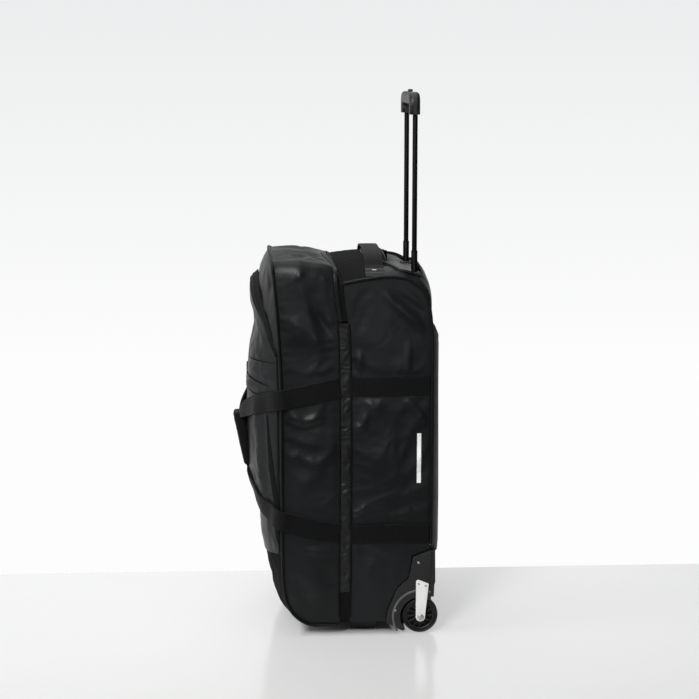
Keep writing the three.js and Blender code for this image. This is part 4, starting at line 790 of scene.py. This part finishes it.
def sideFace(x, z, sign=-1):  # distance of a base side panel from the middle: swell, folds, creases
    far = sign > 0
    fold = foldField(baseFolds, x, z) * sideForm["folds"] * strapFree(z)
    creases = crumple(x + 400 * far, z, (74, 83, 2.8)) + crumple(x + 700 * far, z, (28, 89, 0.6))
    creases = creases + seamPuckers(z + 900 * far, x, zipSeam, 196, 19)
    swell = sideSwell(x, z)
    creases = creases * mix(sideForm["underStrap"], 1, strapFree(z))
    return body["sideFace"] + swell * sideForm["swell"] + held(swell * sideForm["edge"]) * (fold + creases)


def withLean(x, z):  # the front edge of a side panel follows the zip
    return x + (smoothTable(zipLean, z) - zipForm["seamX"]) * held((housingX - x) / (housingX - zipSeam))


sideStops = np.array([(0, zipSeam), (18, housingX), (20, 106), (31, 150.4), (34, 158), (45, backSeam)])  # column, x
sideRows = 176
for side, sign in bothSides:
    xs = np.interp(np.arange(sideStops[-1, 0] + 1), *sideStops.T)[:, None]
    low, high = np.interp(xs, sideColumns[:, 0], sideColumns[:, 1]), smoothTable(sideColumns[:, [0, 2]], xs)
    z = mix(low, high, np.linspace(0, 1, sideRows)[None])
    x = withLean(xs, z)
    outer = np.stack([x, sign * sideFace(x, z, sign), z], 2)
    dress(wallPiece("baseSide_" + side, outer, outer - (0, sign * body["cloth"], 0)), clothLook, "base_side_" + side)

# Piping
cord = {"radius": 3.2, "sides": 12, "step": 3.0, "lidAcross": 1.6, "lidOut": 2.2, "baseOut": 2.4,
        "high": 616, "low": 187}
cordSection = boxSection(cord["radius"], cord["radius"], 2, cord["sides"])


def overTop(grid, k=0):  # rim of a grid, up one side, over the top and down the other; k counts inwards
    return np.concatenate([grid[:-1, k], grid[-1 - k], grid[:-1, -1 - k][::-1]])


rim = overTop(frontOuter)
across = unit(rim - overTop(frontOuter, 1))
bead = rim + across * cord["lidAcross"] + overTop(outwards(frontOuter, 0)) * cord["lidOut"]
piece = sweepPiece("lidPiping", evenPath(bead[::3], cord["step"]), cordSection, (0.3, 1, 0.2))
dress(piece, pipingLook, "lid_piping")

for side, sign in bothSides:
    xs = np.linspace(zipSeam, backSeam, 80)
    topZ = smoothTable(sideColumns[:, [0, 2]], xs)
    down = np.stack([np.full(60, backSeam), np.linspace(cord["high"], cord["low"], 60)], 1)
    edge = np.concatenate([np.stack([withLean(xs, topZ), topZ], 1), down])
    along = unit(np.gradient(edge, axis=0))
    x, z = edge[:, 0] - along[:, 1] * cord["baseOut"], edge[:, 1] + along[:, 0] * cord["baseOut"]
    bead = np.stack([x, np.full(len(edge), sign * cordY), z], 1)
    piece = sweepPiece("basePiping_" + side, evenPath(bead[::2], cord["step"]), cordSection, (0.1, 1, 0.1))
    dress(piece, pipingLook, "base_piping_" + side)
print("base half built")


# Webbing: a strip along a path, the way it faces, its width; sink is how far it presses into the cloth under it
def strapPiece(name, path, face, width, thick=2.0, sink=0.0):
    crown = 0.25
    along = unit(np.gradient(path, axis=0))
    face = np.array(face, float)
    face = unit(face - along * (face * along).sum(1, keepdims=True))[:, None]
    w = np.linspace(-0.5, 0.5, 11)[None, :, None]
    inner = path[:, None] + np.cross(along[:, None], face) * w * np.reshape(width, (-1, 1, 1))
    inner = inner + face * (crown * (1 - 4 * w ** 2))
    return wallPiece(name, inner + face * thick, inner - face * sink)


def stitches(name, path, out):  # sewing thread: one short raised bar per stitch along a path
    pitch, size = 4.2, 0.45
    p = evenPath(path, pitch)
    along = unit(np.gradient(p, axis=0))
    bar = np.array([(-0.36, 1, 0.1), (-0.36, -1, 0.1), (0.36, -1, 0.1), (0.36, 1, 0.1), (-0.22, 0, 1), (0.22, 0, 1)])
    across = np.cross(along, out)[:, None] * bar[:, 1:2] + np.array(out, float) * bar[:, 2:]
    points = p[:, None] + along[:, None] * bar[:, :1] * pitch + across * size
    first = np.arange(len(p))[:, None] * len(bar)
    quads = np.concatenate([first + np.array(q) for q in ((0, 1, 2, 3), (0, 3, 5, 4), (2, 1, 4, 5))])
    tris = np.concatenate([first + np.array(t) for t in ((1, 0, 4), (3, 2, 5))])
    return putMesh(name, points.reshape(-1, 3), [quads, tris], np.zeros((points.size // 3, 2)), 40)


strapForm = {"front": 29.6, "back": 193, "steps": 60, "width": 39.5, "standOff": 1.2, "wave": 1.2, "waveMm": 31,
             "threadOut": 2.2, "threadZ": 17}
strapX = np.linspace(strapForm["front"], strapForm["back"], strapForm["steps"])
acrossStrap = np.linspace(-20, 20, 9)
for level, height in strapLevels.items():
    for side, sign in bothSides:
        lift = np.max([sideFace(strapX, np.full(len(strapX), height + w), sign) for w in acrossStrap], axis=0)
        lift = np.convolve(np.pad(lift, 3, "edge"), np.ones(7) / 7, "valid") + strapForm["standOff"]
        z = height + strapForm["wave"] * np.sin(strapX / strapForm["waveMm"] + height)
        path = np.stack([strapX, sign * lift, z], 1)
        name = "%s_%s" % (level, side)
        strap = strapPiece("baseStrap_" + name, path, (0, sign, 0), strapForm["width"])
        dress(strap, webbingLook, "base_strap_" + name)
        for edge in (-strapForm["threadZ"], strapForm["threadZ"]):
            line = path[4:-4] + (0, sign * strapForm["threadOut"], edge)
            dress(stitches("baseStitch_%s_%d" % (name, edge > 0), line, (0, sign, 0)), threadLook)

wrapForm = {"low": 326, "high": 440, "fullZ": 434, "half": 24, "depth": 14.2, "lowDepth": 7, "lowX": -184,
            "topX": -198.8, "rows": 60}


def wrapX(z):
    return mix(wrapForm["lowX"], wrapForm["topX"], (z - wrapForm["low"]) / (wrapForm["fullZ"] - wrapForm["low"]))


haulRoute = [  # x (None lies on the front), y, z, width, the way it faces in x and y
    (7, 198.6, 527, 40, 0, 1), (-45, 203, 516, 40, 0, 1), (-96, 202.6, 506, 40, 0, 1), (-112, 204.2, 503, 40, -0.35, 1),
    (-118, 200.5, 501.5, 40, -0.8, 0.8), (None, 162, 491, 40, -1, 0.5), (None, 130, 481, 40, -1, 0.3),
    (None, 95, 470, 39, -1, 0.25), (-185, 62, 459, 35, -1, 0.2), (-194, 36, 448, 27, -1, 0.1),
    (wrapX(437), 12, 437, 18, -1, 0), (wrapX(316), 10.5, 316, 17, -1, 0), (None, 28, 304, 24, -1, 0),
    (None, 55, 290, 32, -1, 0.1), (None, 90, 278, 38, -1, 0.2), (None, 130, 266, 40, -1, 0.3),
    (None, 162, 259, 40, -1, 0.5), (-118, 200.5, 250, 40, -0.8, 0.8), (-112, 204.2, 248, 40, -0.35, 1),
    (-96, 202.6, 244, 40, 0, 1), (-45, 203, 230, 40, 0, 1), (7, 198.6, 220, 40, 0, 1)]


def pocketFace(y, z):  # X of the pocket's outer face with its folds, by the nearest column of its grid
    last = pocketForm["cols"] - 1
    c = int(round(float(np.clip((y / pocketForm["half"] + 1) / 2 * last, 0, last))))
    return np.interp(z, pocketOuter[:, c, 2], pocketOuter[:, c, 0])


haulForm = {"probe": 18, "standOff": 2.8, "sink": 2.4, "spacing": 4.0}
for side, sign in bothSides:
    rows = []
    for x, y, z, width, fx, fy in haulRoute:
        lean = 0.0  # webbing on the pocket lies along its slope
        if x is None:
            upper, lower = (pocketFace(sign * y, z + step) for step in (haulForm["probe"], -haulForm["probe"]))
            lean = (upper - lower) / (2 * haulForm["probe"])
            x = np.min(pocketFace(sign * y, z + acrossStrap) - lean * acrossStrap) - haulForm["standOff"]
        rows.append((x, sign * y, z, width, fx, sign * fy, lean))
    rows = np.array(rows, float)
    path = evenPath(rows[:, :3], haulForm["spacing"])
    run = runLength(rows[:, :3])
    width, *face = (np.interp(np.linspace(0, run[-1], len(path)), run, rows[:, k]) for k in (3, 4, 5, 6))
    strap = strapPiece("haulStrap_" + side, path, np.stack(face, 1), width, sink=haulForm["sink"])
    dress(strap, webbingLook, "haul_strap_" + side)

wrapZ = np.linspace(wrapForm["low"], wrapForm["high"], wrapForm["rows"])[:, None]


def sleeveRing(halfY, halfX, reach):  # rounded box section round both straps, deeper on the pocket's side
    a = turns(64)
    x = wrapX(wrapZ) - 1 + np.where(np.cos(a) > 0, reach, halfX) * signedPower(np.cos(a), 0.5)
    return np.stack([x, halfY * signedPower(np.sin(a), 0.5) + 0 * x, wrapZ + 0 * x], 2)


ease = np.minimum(wrapZ - wrapForm["low"], wrapForm["high"] - wrapZ)
slim = 2.2 * np.exp(-ease / 3.0) + 0.5 * np.exp(-((ease - 9) / 1.6) ** 2)
wrapDepth = np.interp(wrapZ, [wrapForm["low"], wrapForm["fullZ"]], [wrapForm["lowDepth"], wrapForm["depth"]]) - slim
reach = np.min([pocketFace(y, wrapZ) for y in (-18, 0, 18)], axis=0) + 2.0 - wrapX(wrapZ)
wrapOuter = sleeveRing(wrapForm["half"] - slim, wrapDepth, np.maximum(reach, wrapDepth))
wrapOuter[..., 0] += crumple(wrapOuter[..., 1], wrapOuter[..., 2], (16, 97, 0.7))
wrap = wallPiece("handleWrap", wrapOuter, sleeveRing(21.6, 1.8, 1.8), True)
dress(wrap, webbingLook, "handle_wrap")

creases = [  # matte black strips along the pocket's deep creases, painted shade of the creases: places in Y and Z, width at the widest
    ("upper", [(46, 536), (80, 533), (120, 529), (166, 526)], 5.0),
    ("lower", [(4, 512), (40, 507), (80, 501), (112, 500), (140, 505)], 4.0),
    ("seam", [(60, 571), (120, 573), (184, 577)], 2.4),
]
for name, places, wide in creases:
    for side, sign in bothSides:
        middle = evenPath([(0, y, z) for y, z in places], 3.0)
        taper = wide * np.sin(math.pi * np.linspace(0.06, 0.94, len(middle))) ** 0.7
        z = middle[:, 2:] + taper[:, None] * np.linspace(-0.5, 0.5, 5)[None]
        x = np.array([pocketFace(sign * y, line) for y, line in zip(middle[:, 1], z)])
        crease = np.stack([x - 0.5, sign * (middle[:, 1:2] + 0.5) + 0 * x, z], 2)
        # painted shade: a thin matte black skin laid in each crease
        dress(wallPiece("crease_%s_%s" % (name, side), crease, crease + (0.4, 0, 0)), matteLook)

# Top handle and its tabs
topTable = baseGrid(61)[:110]  # smooth top of the base
topForm = {"x": 80.5, "probes": (62, 72, 80, 90, 99), "standOff": 0.8, "tack": 4.0}


def topOfBase(x, y):  # height of the smooth base top at a place
    c = int(round((y / body["gussetHalf"] + 1) * 30))
    return np.interp(x, topTable[:, c, 0], topTable[:, c, 2])


def underHandle(y):  # just over the highest cloth under the top handle
    return topOfBase(topForm["probes"], y).max() + topForm["standOff"]


def topStrap(name, stops, spacing, width, thick):  # webbing over the top, through stops (y, height over the cloth)
    path = evenPath([(topForm["x"], y, underHandle(y) + lift) for y, lift in stops], spacing)
    return strapPiece(name, path, (0, 0, 1), width, thick)


topRoute = [(160, 0), (150, 0), (132, 4), (108, 6.5), (80, 7), (40, 7)]  # y from the middle, lift
topStops = [(-y, lift) for y, lift in topRoute] + [(0, 7)] + topRoute[::-1]
dress(topStrap("topHandle", topStops, 3.0, 37.0, 3.0), webbingLook, "top_handle")
for side, sign in bothSides:
    tab = topStrap("handleTab_" + side, [(sign * y, 0) for y in np.linspace(161, 189, 8)], 2.5, 39.0, 2.2)
    dress(tab, hingeLook if sign < 0 else matteLook, "handle_tab_" + side)

# Matte panels between zip, handle and tray, border of the tray, bar tack on the near tab
topX, topZ = baseGrid(baseForm["cols"])[:, 50, [0, 2]].T
baseOut = outwards(baseOuter, baseForm["insideX"])
onTop = topZ > baseForm["topZ"]
for name, rows, columns in (("topPanel", onTop & (topX < 60), slice(None)),
                            ("handleGround", onTop & (topX >= 58) & (topX < 108.6), slice(11, 89))):
    dress(skinPiece(name, baseOuter[rows][:, columns], baseOut[rows][:, columns]), matteLook)
border = evenPath([(x, y, 0) for x, y in np.roll(trayOutline(1.5)[::-1], 4, axis=0)], 3.0)
border[:, 2] = [topOfBase(x, y) + 1.0 for x, y in border[:, :2]]
dress(sweepPiece("trayBorder", border, cordSection, (0, 0, 1)), pipingLook)
tackZ = underHandle(-170)
dress(prism("barTack", oblong(75, -173, 84, -168), tackZ, tackZ + topForm["tack"], "z"), inkLook)

# Pocket zip and its puller
edge = pocketOuter[-1]
along = unit(np.gradient(edge, axis=0) * (0, 1, 1))
up = np.stack([np.zeros(len(edge)), -along[:, 2], along[:, 1]], 1)
wide = mix(17.0, 3.2, easeStep(138, 184, np.abs(edge[:, 1])))[:, None]  # tapers out at both ends
share = np.linspace(0, 1, 15)[None]
band = edge[:, None] + up[:, None] * (0.9 + wide * share)[..., None]
upperX = frontFace(band[:, -1, 1], band[:, -1, 2]) - 3.0
upperX = np.where(np.abs(band[:, -1, 1]) > pocketForm["half"], np.minimum(upperX, edge[:, 0]), upperX)
ridge = 0.8 * np.sin(math.pi * share) + 1.2 * np.exp(-((share - 0.5) / 0.12) ** 4)
band[..., 0] = mix(edge[:, :1], upperX[:, None], share) - ridge
dress(wallPiece("pocketZip", band, band + (1.6, 0, 0)), zipLook, "pocket_zip")
pull = {"low": 512, "high": 548, "steps": 12, "standOff": 0.9, "width": 10.0, "thick": 2.4}
pullZ = np.linspace(pull["low"], pull["high"], pull["steps"])
pullPath = np.stack([pocketFace(0, pullZ) - pull["standOff"], 0 * pullZ, pullZ], 1)
piece = strapPiece("pocketPull", pullPath, (-1, 0, 0), pull["width"], pull["thick"])
dress(piece, webbingLook, "pocket_pull")
print("webbing built")

# Trolley handle
tubePlace = {"x": 167.5, "y": 100}
tubeStages = [  # name, node, body, half sizes, half sizes of the bore, low, high
    ("outerTube", "outer_tube", "bag", 7.85, 9.6, 6.85, 8.6, 70, 743.6),
    ("midTube", "mid_tube", "handle_mid", 6.55, 8.3, 5.55, 7.3, 420, 797),
    ("topTube", "top_tube", "handle_top", 5.25, 7, 4.2, 6, 620, 1075.7),
]


def ovalRing(halfX, halfY, sign, sides):
    a = turns(sides)
    return tubePlace["x"] + halfX * np.cos(a), sign * tubePlace["y"] + halfY * np.sin(a)


def ovalGrid(halfX, halfY, z, sign):
    x, y = ovalRing(halfX, halfY, sign, 48)
    return np.stack(np.broadcast_arrays(x, y, z), 2)


for name, node, part, halfX, halfY, boreX, boreY, low, high in tubeStages:  # drawn oval tubes with rounded ends
    for side, sign in bothSides:
        z = np.array([low, low + 0.3, low + 0.8, high - 0.8, high - 0.3, high])[:, None]
        inset = np.array([0.8, 0.25, 0, 0, 0.25, 0.8])[:, None]
        outer, inner = ovalGrid(halfX - inset, halfY - inset, z, sign), ovalGrid(boreX, boreY, z, sign)
        dress(wallPiece(name + "_" + side, outer, inner, True), tubeLook, node + "_" + side, part=part)


def arcPoints(cx, cz, r, start, end, count=12):
    a = np.radians(np.linspace(start, end, count))
    return list(zip(cx + r * np.cos(a), cz + r * np.sin(a)))


gripForm = {"footZ": 1076, "front": 155, "back": 177, "round": 8.0, "footShare": 0.12}
gripOutline = ([(-114, 1076), (-87, 1076), (-87, 1089)] + arcPoints(-79, 1089, 8, 180, 90)[1:]
               + arcPoints(79, 1089, 8, 90, 0) + [(87, 1076), (114, 1076)] + arcPoints(92, 1100, 22, 0, 90)
               + arcPoints(-92, 1100, 22, 90, 180))
grip = prism("grip", gripOutline, gripForm["front"], gripForm["back"], "x")
ends = np.empty(2 * len(grip.data.edges), np.int32)
grip.data.edges.foreach_get("vertices", ends)
spots = np.empty(3 * len(grip.data.vertices), np.float32)
grip.data.vertices.foreach_get("co", spots)
spots = spots.reshape(-1, 3)[ends.reshape(-1, 2)] / mm
onFace = np.abs(spots[:, 0, 0] - spots[:, 1, 0]) < 0.1  # outline of the two flat faces; the feet stay nearly sharp
weight = onFace * np.where(spots[:, :, 2].max(axis=1) < gripForm["footZ"] + 1, gripForm["footShare"], 1.0)
weights = grip.data.attributes.new("bevel_weight_edge", "FLOAT", "EDGE")
weights.data.foreach_set("value", weight.astype(np.float32))
softEdges(grip, gripForm["round"], 7).limit_method = "WEIGHT"
dress(grip, gripLook, "grip", part="handle_top")
roundedNode("grip_button", plasticLook, 1.6, 4, slot="grip_plastic", part="handle_top")

# Moulded parts: the solids with rounded edges, and what the moulding adds
roundedNode("handle_tray", trayLook, 1.0)
collarForm = {"front": 155, "back": 180, "half": 15.4, "low": 747.4, "high": 752.6, "boreX": 6.85, "boreY": 8.6}
for side, sign in bothSides:
    near, far = (sign * tubePlace["y"] + half for half in (-collarForm["half"], collarForm["half"]))
    outline = oblong(collarForm["front"], near, collarForm["back"], far)
    collar = prism("collar_" + side, outline, collarForm["low"], collarForm["high"], "z")
    bore = np.stack(ovalRing(collarForm["boreX"], collarForm["boreY"], sign, 40), 1)
    cutAway(collar, [prism("collarBore", bore, 740, 770, "z")])
    softEdges(collar, 1.6)
    dress(collar, plasticLook)
roundedNode("back_panel", backLook, 1.8)
runnerOutline = [(203.4, 175), (208.5, 175), (211.6, 179), (213.2, 200), (213.6, 300), (212.6, 420), (211.6, 520),
                 (211.4, 618), (204, 640)]
cheekOutline = [(190, 176), (206.5, 182), (207.4, 112), (205.4, 106), (204.6, 80), (196, 80), (196, 112), (190, 116)]
for side, sign in bothSides:
    for name, outline, near, far, look in (("runner_", runnerOutline, 169, 183, backLook),
                                           ("housingCheek_", cheekOutline, 152, 198.6, plasticLook)):
        piece = prism(name + side, outline, *sorted((sign * near, sign * far)), "y")
        softEdges(piece, 1.4)
        dress(piece, look)

wheel = {"x": 176, "z": 38, "archR": 57, "archY": 199.6, "archFrom": 212, "archTo": 68, "spokes": 12, "spokeY": 181.6}
tyreHalf = [(31, 4), (32, 1.6), (33.4, 0.4), (35, 0.6), (36.4, 2.0), (37.3, 4.4), (37.9, 8), (38, 11)]
tyreLine = ([(r, 168 + d) for r, d in tyreHalf] + [(37.4, 180.2), (37.4, 182.8)]
            + [(r, 195 - d) for r, d in tyreHalf[::-1]])
hubLines = [  # name, closed profile (radius, distance from the bag's middle), segments
    ("hubRing", [(30.6, 172), (30.6, 191), (28.8, 191.6), (26.8, 190.4), (26.4, 172.6), (28, 172)], 96),
    ("hubCore", [(4.4, 172), (4.4, 191.5), (11, 191.5), (12.6, 190), (12.6, 173), (11, 172)], 64),
    ("hubWeb", [(11.5, 178.5), (27, 178.5), (27, 181), (11.5, 181)], 64),
]


def roundAxle(r, angle, y):  # places round a wheel's axle
    return np.stack(np.broadcast_arrays(wheel["x"] + r * np.cos(angle), y, wheel["z"] + r * np.sin(angle)), -1)


def turnedPiece(name, profile, sign, segments, sharpAngle=30):  # closed profile turned round a wheel's axle
    r, d = np.array(profile, float).T
    p = roundAxle(r, turns(segments)[:, None], sign * d)
    quads = gridQuads(segments + 1, len(r), True) % (segments * len(r))
    return putMesh(name, p.reshape(-1, 3), [quads], None, sharpAngle)


for side, sign in bothSides:
    spin = "wheel_" + side
    roundedNode("wheel_housing_" + side, plasticLook, 1.8)
    angles = np.radians(np.linspace(wheel["archFrom"], wheel["archTo"], 60))
    arch = roundAxle(wheel["archR"], angles, sign * wheel["archY"])
    # raised rim round the wheel arch, in pale grey tray plastic: a painted highlight on the black housing
    dress(sweepPiece("archRimPaintedHighlight_" + side, arch, boxSection(2.2, 2.4, 3, 16), (0, 1, 0), 40), trayLook)
    roundedNode("wheel_bracket_" + side, bracketLook, 0.8)
    dress(turnedPiece("tyre_" + side, tyreLine, sign, 96, 45), rubberLook, "tyre_" + side, part=spin)
    hub = [turnedPiece(name, line, sign, segments) for name, line, segments in hubLines]
    for angle in turns(wheel["spokes"]):
        path = roundAxle(np.linspace(11.8, 27.2, 6), angle, sign * wheel["spokeY"])
        hub.append(sweepPiece("spoke", path, boxSection(9.2, 1.5, 4, 16), (0, 1, 0), 40))
    dress(joined("hub_" + side, hub), plasticLook, "hub_" + side, part=spin)
    roundedNode("axle_" + side, steelLook, 0.5, 2)
    for screw in ("housing_screw_top_", "housing_screw_front_", "bracket_screw_front_", "bracket_screw_back_"):
        roundedNode(screw + side, steelLook, 0.3, 2)
    roundedNode("foot_" + side, plasticLook, 1.5)

# Plain printed bar on the near side
bar = {"front": 167, "back": 175.5, "low": 325, "high": 430, "standOff": 0.45, "thick": 0.4}
barX, barZ = np.meshgrid(np.linspace(bar["front"], bar["back"], 6), np.linspace(bar["low"], bar["high"], 50),
                         indexing="ij")
barOuter = np.stack([barX, -(sideFace(barX, barZ) + bar["standOff"]), barZ], 2)
dress(wallPiece("printedBar", barOuter, barOuter + (0, bar["thick"], 0)), inkLook, slot="coated_cloth")
print("hard parts built")


# Stage: pale board that ends just behind the bag, white wall far behind, softboxes
def stageCard(name, corners, material, seen=True):  # a card that isn't seen only lights the bag, from any side
    piece = putMesh(name, corners, [np.array([[0, 1, 2, 3]])])
    piece.data.materials.append(material)
    piece.visible_camera = seen


def glowing(name, strength):
    return newMaterial(name, "#000000", 1.0, Specular_IOR_Level=0.0, Emission_Strength=strength)


def glowingBoard(name, colour, glow):  # pale glossy board that glows as if lit from below; its glow fades out in a patch under the bag, a painted shadow of the bag
    paintedShadow = {"middleX": 0.03, "halfX": 0.095, "halfY": 0.185}
    material, tree, shader = newMaterial(name, colour, 0.16, Specular_IOR_Level=0.6)
    settings = {"Location": (-paintedShadow["middleX"] / paintedShadow["halfX"], 0, 0),
                "Scale": (1 / paintedShadow["halfX"], 1 / paintedShadow["halfY"], 1)}
    share = addNode(tree, "Mapping", settings, {"Vector": objectPlace(tree)})
    away = addNode(tree, "VectorMath", {"operation": "ABSOLUTE"}, {"Vector": share.outputs["Vector"]})
    axes = addNode(tree, "SeparateXYZ", (), {"Vector": away.outputs["Vector"]})
    far = addNode(tree, "Math", {"operation": "MAXIMUM"}, {0: axes.outputs["X"], 1: axes.outputs["Y"]})
    # no glow inside the patch under the bag, fading in at its edge: the painted shadow
    edge = {"From Min": 0.88, "From Max": 1.12, "To Max": glow}
    light = addNode(tree, "MapRange", edge, {"Value": far.outputs["Value"]})
    tree.links.new(light.outputs["Result"], shader.inputs["Emission Strength"])
    return material


def glowingWall(name, bottom, top, lowZ, highZ):  # evenly lit paper wall, a little darker towards the top
    material, tree, shader = glowing(name, 1.0)
    height = addNode(tree, "SeparateXYZ", (), {"Vector": objectPlace(tree)}).outputs["Z"]
    share = addNode(tree, "MapRange", {"From Min": lowZ, "From Max": highZ}, {"Value": height})
    twoTones(tree, share.outputs["Result"], bottom, top, shader.inputs["Emission Color"])
    return material


def levelCorners(x, y0, y1, z):  # of a level card
    return [(-x, y0, z), (x, y0, z), (x, y1, z), (-x, y1, z)]


stageCard("floorBoard", levelCorners(2500, -590, 254, 0), glowingBoard("paleBoardPaintedShadow", "#b0b0b0", 0.34))
stageCard("foreFloor", levelCorners(2500, -4200, -590, -1), newMaterial("greyStudioFloor", "#1e1e1e", 0.6)[0])
stageCard("sideCard", [(-1900, 300, -600), (-1900, 2800, -600), (-1900, 2800, 1300), (-1900, 300, 1300)],
          glowing("greyCard", 0.55)[0], False)
stageCard("fillCard", [(-1600, -3000, 0), (1600, -3000, 0), (1600, -3100, 1050), (-1600, -3100, 1050)],
          glowing("whiteCard", 1.0)[0], False)
stageCard("backWall", [(-2600, 3400, -1500), (2600, 3400, -1500), (2600, 3400, 1800), (-2600, 3400, 1800)],
          glowingWall("paperWall", "#fdfdfd", "#e6e7e8", -0.1, 2.0))


def softbox(name, place, target, width, height, watts, spread=180):
    light = bpy.data.lights.new(name, "AREA")
    light.shape, light.size, light.size_y = "RECTANGLE", width, height
    light.energy, light.spread = watts, math.radians(spread)
    lamp = putObject(name, light)
    lamp.location = place
    lamp.rotation_euler = (Vector(target) - Vector(place)).to_track_quat("-Z", "Y").to_euler()


softbox("overhead", (-0.3, -0.2, 3.0), (0.0, 0.0, 0.5), 2.0, 1.8, 34)
softbox("rearTop", (-0.1, 2.0, 2.9), (0.0, 0.0, 0.7), 2.2, 0.9, 21)
softbox("frontLeft", (-2.6, -0.6, 1.15), (-0.1, 0.0, 0.45), 1.0, 1.4, 32)
softbox("cameraSide", (-1.2, -2.7, 2.55), (0.05, 0.0, 0.9), 1.0, 0.8, 14, 60)  # gridded: brightest on the upper half

world = bpy.data.worlds.new("studio")
world.use_nodes = True
world.node_tree.nodes["Background"].inputs["Color"].default_value = toLinear("#ffffff")
world.node_tree.nodes["Background"].inputs["Strength"].default_value = 0.1
bpy.context.scene.world = world
bpy.context.scene.view_settings.view_transform = "Standard"

lens = bpy.data.cameras.new("photoCamera")
lens.sensor_width, lens.lens = 36, 82.35
camera = putObject("photoCamera", lens)
camera.location = (-0.1348, -3.3959, 1.1524)
camera.rotation_euler = (math.radians(80.32), 0, math.radians(-2.91))
bpy.context.scene.camera = camera
print("stage set")
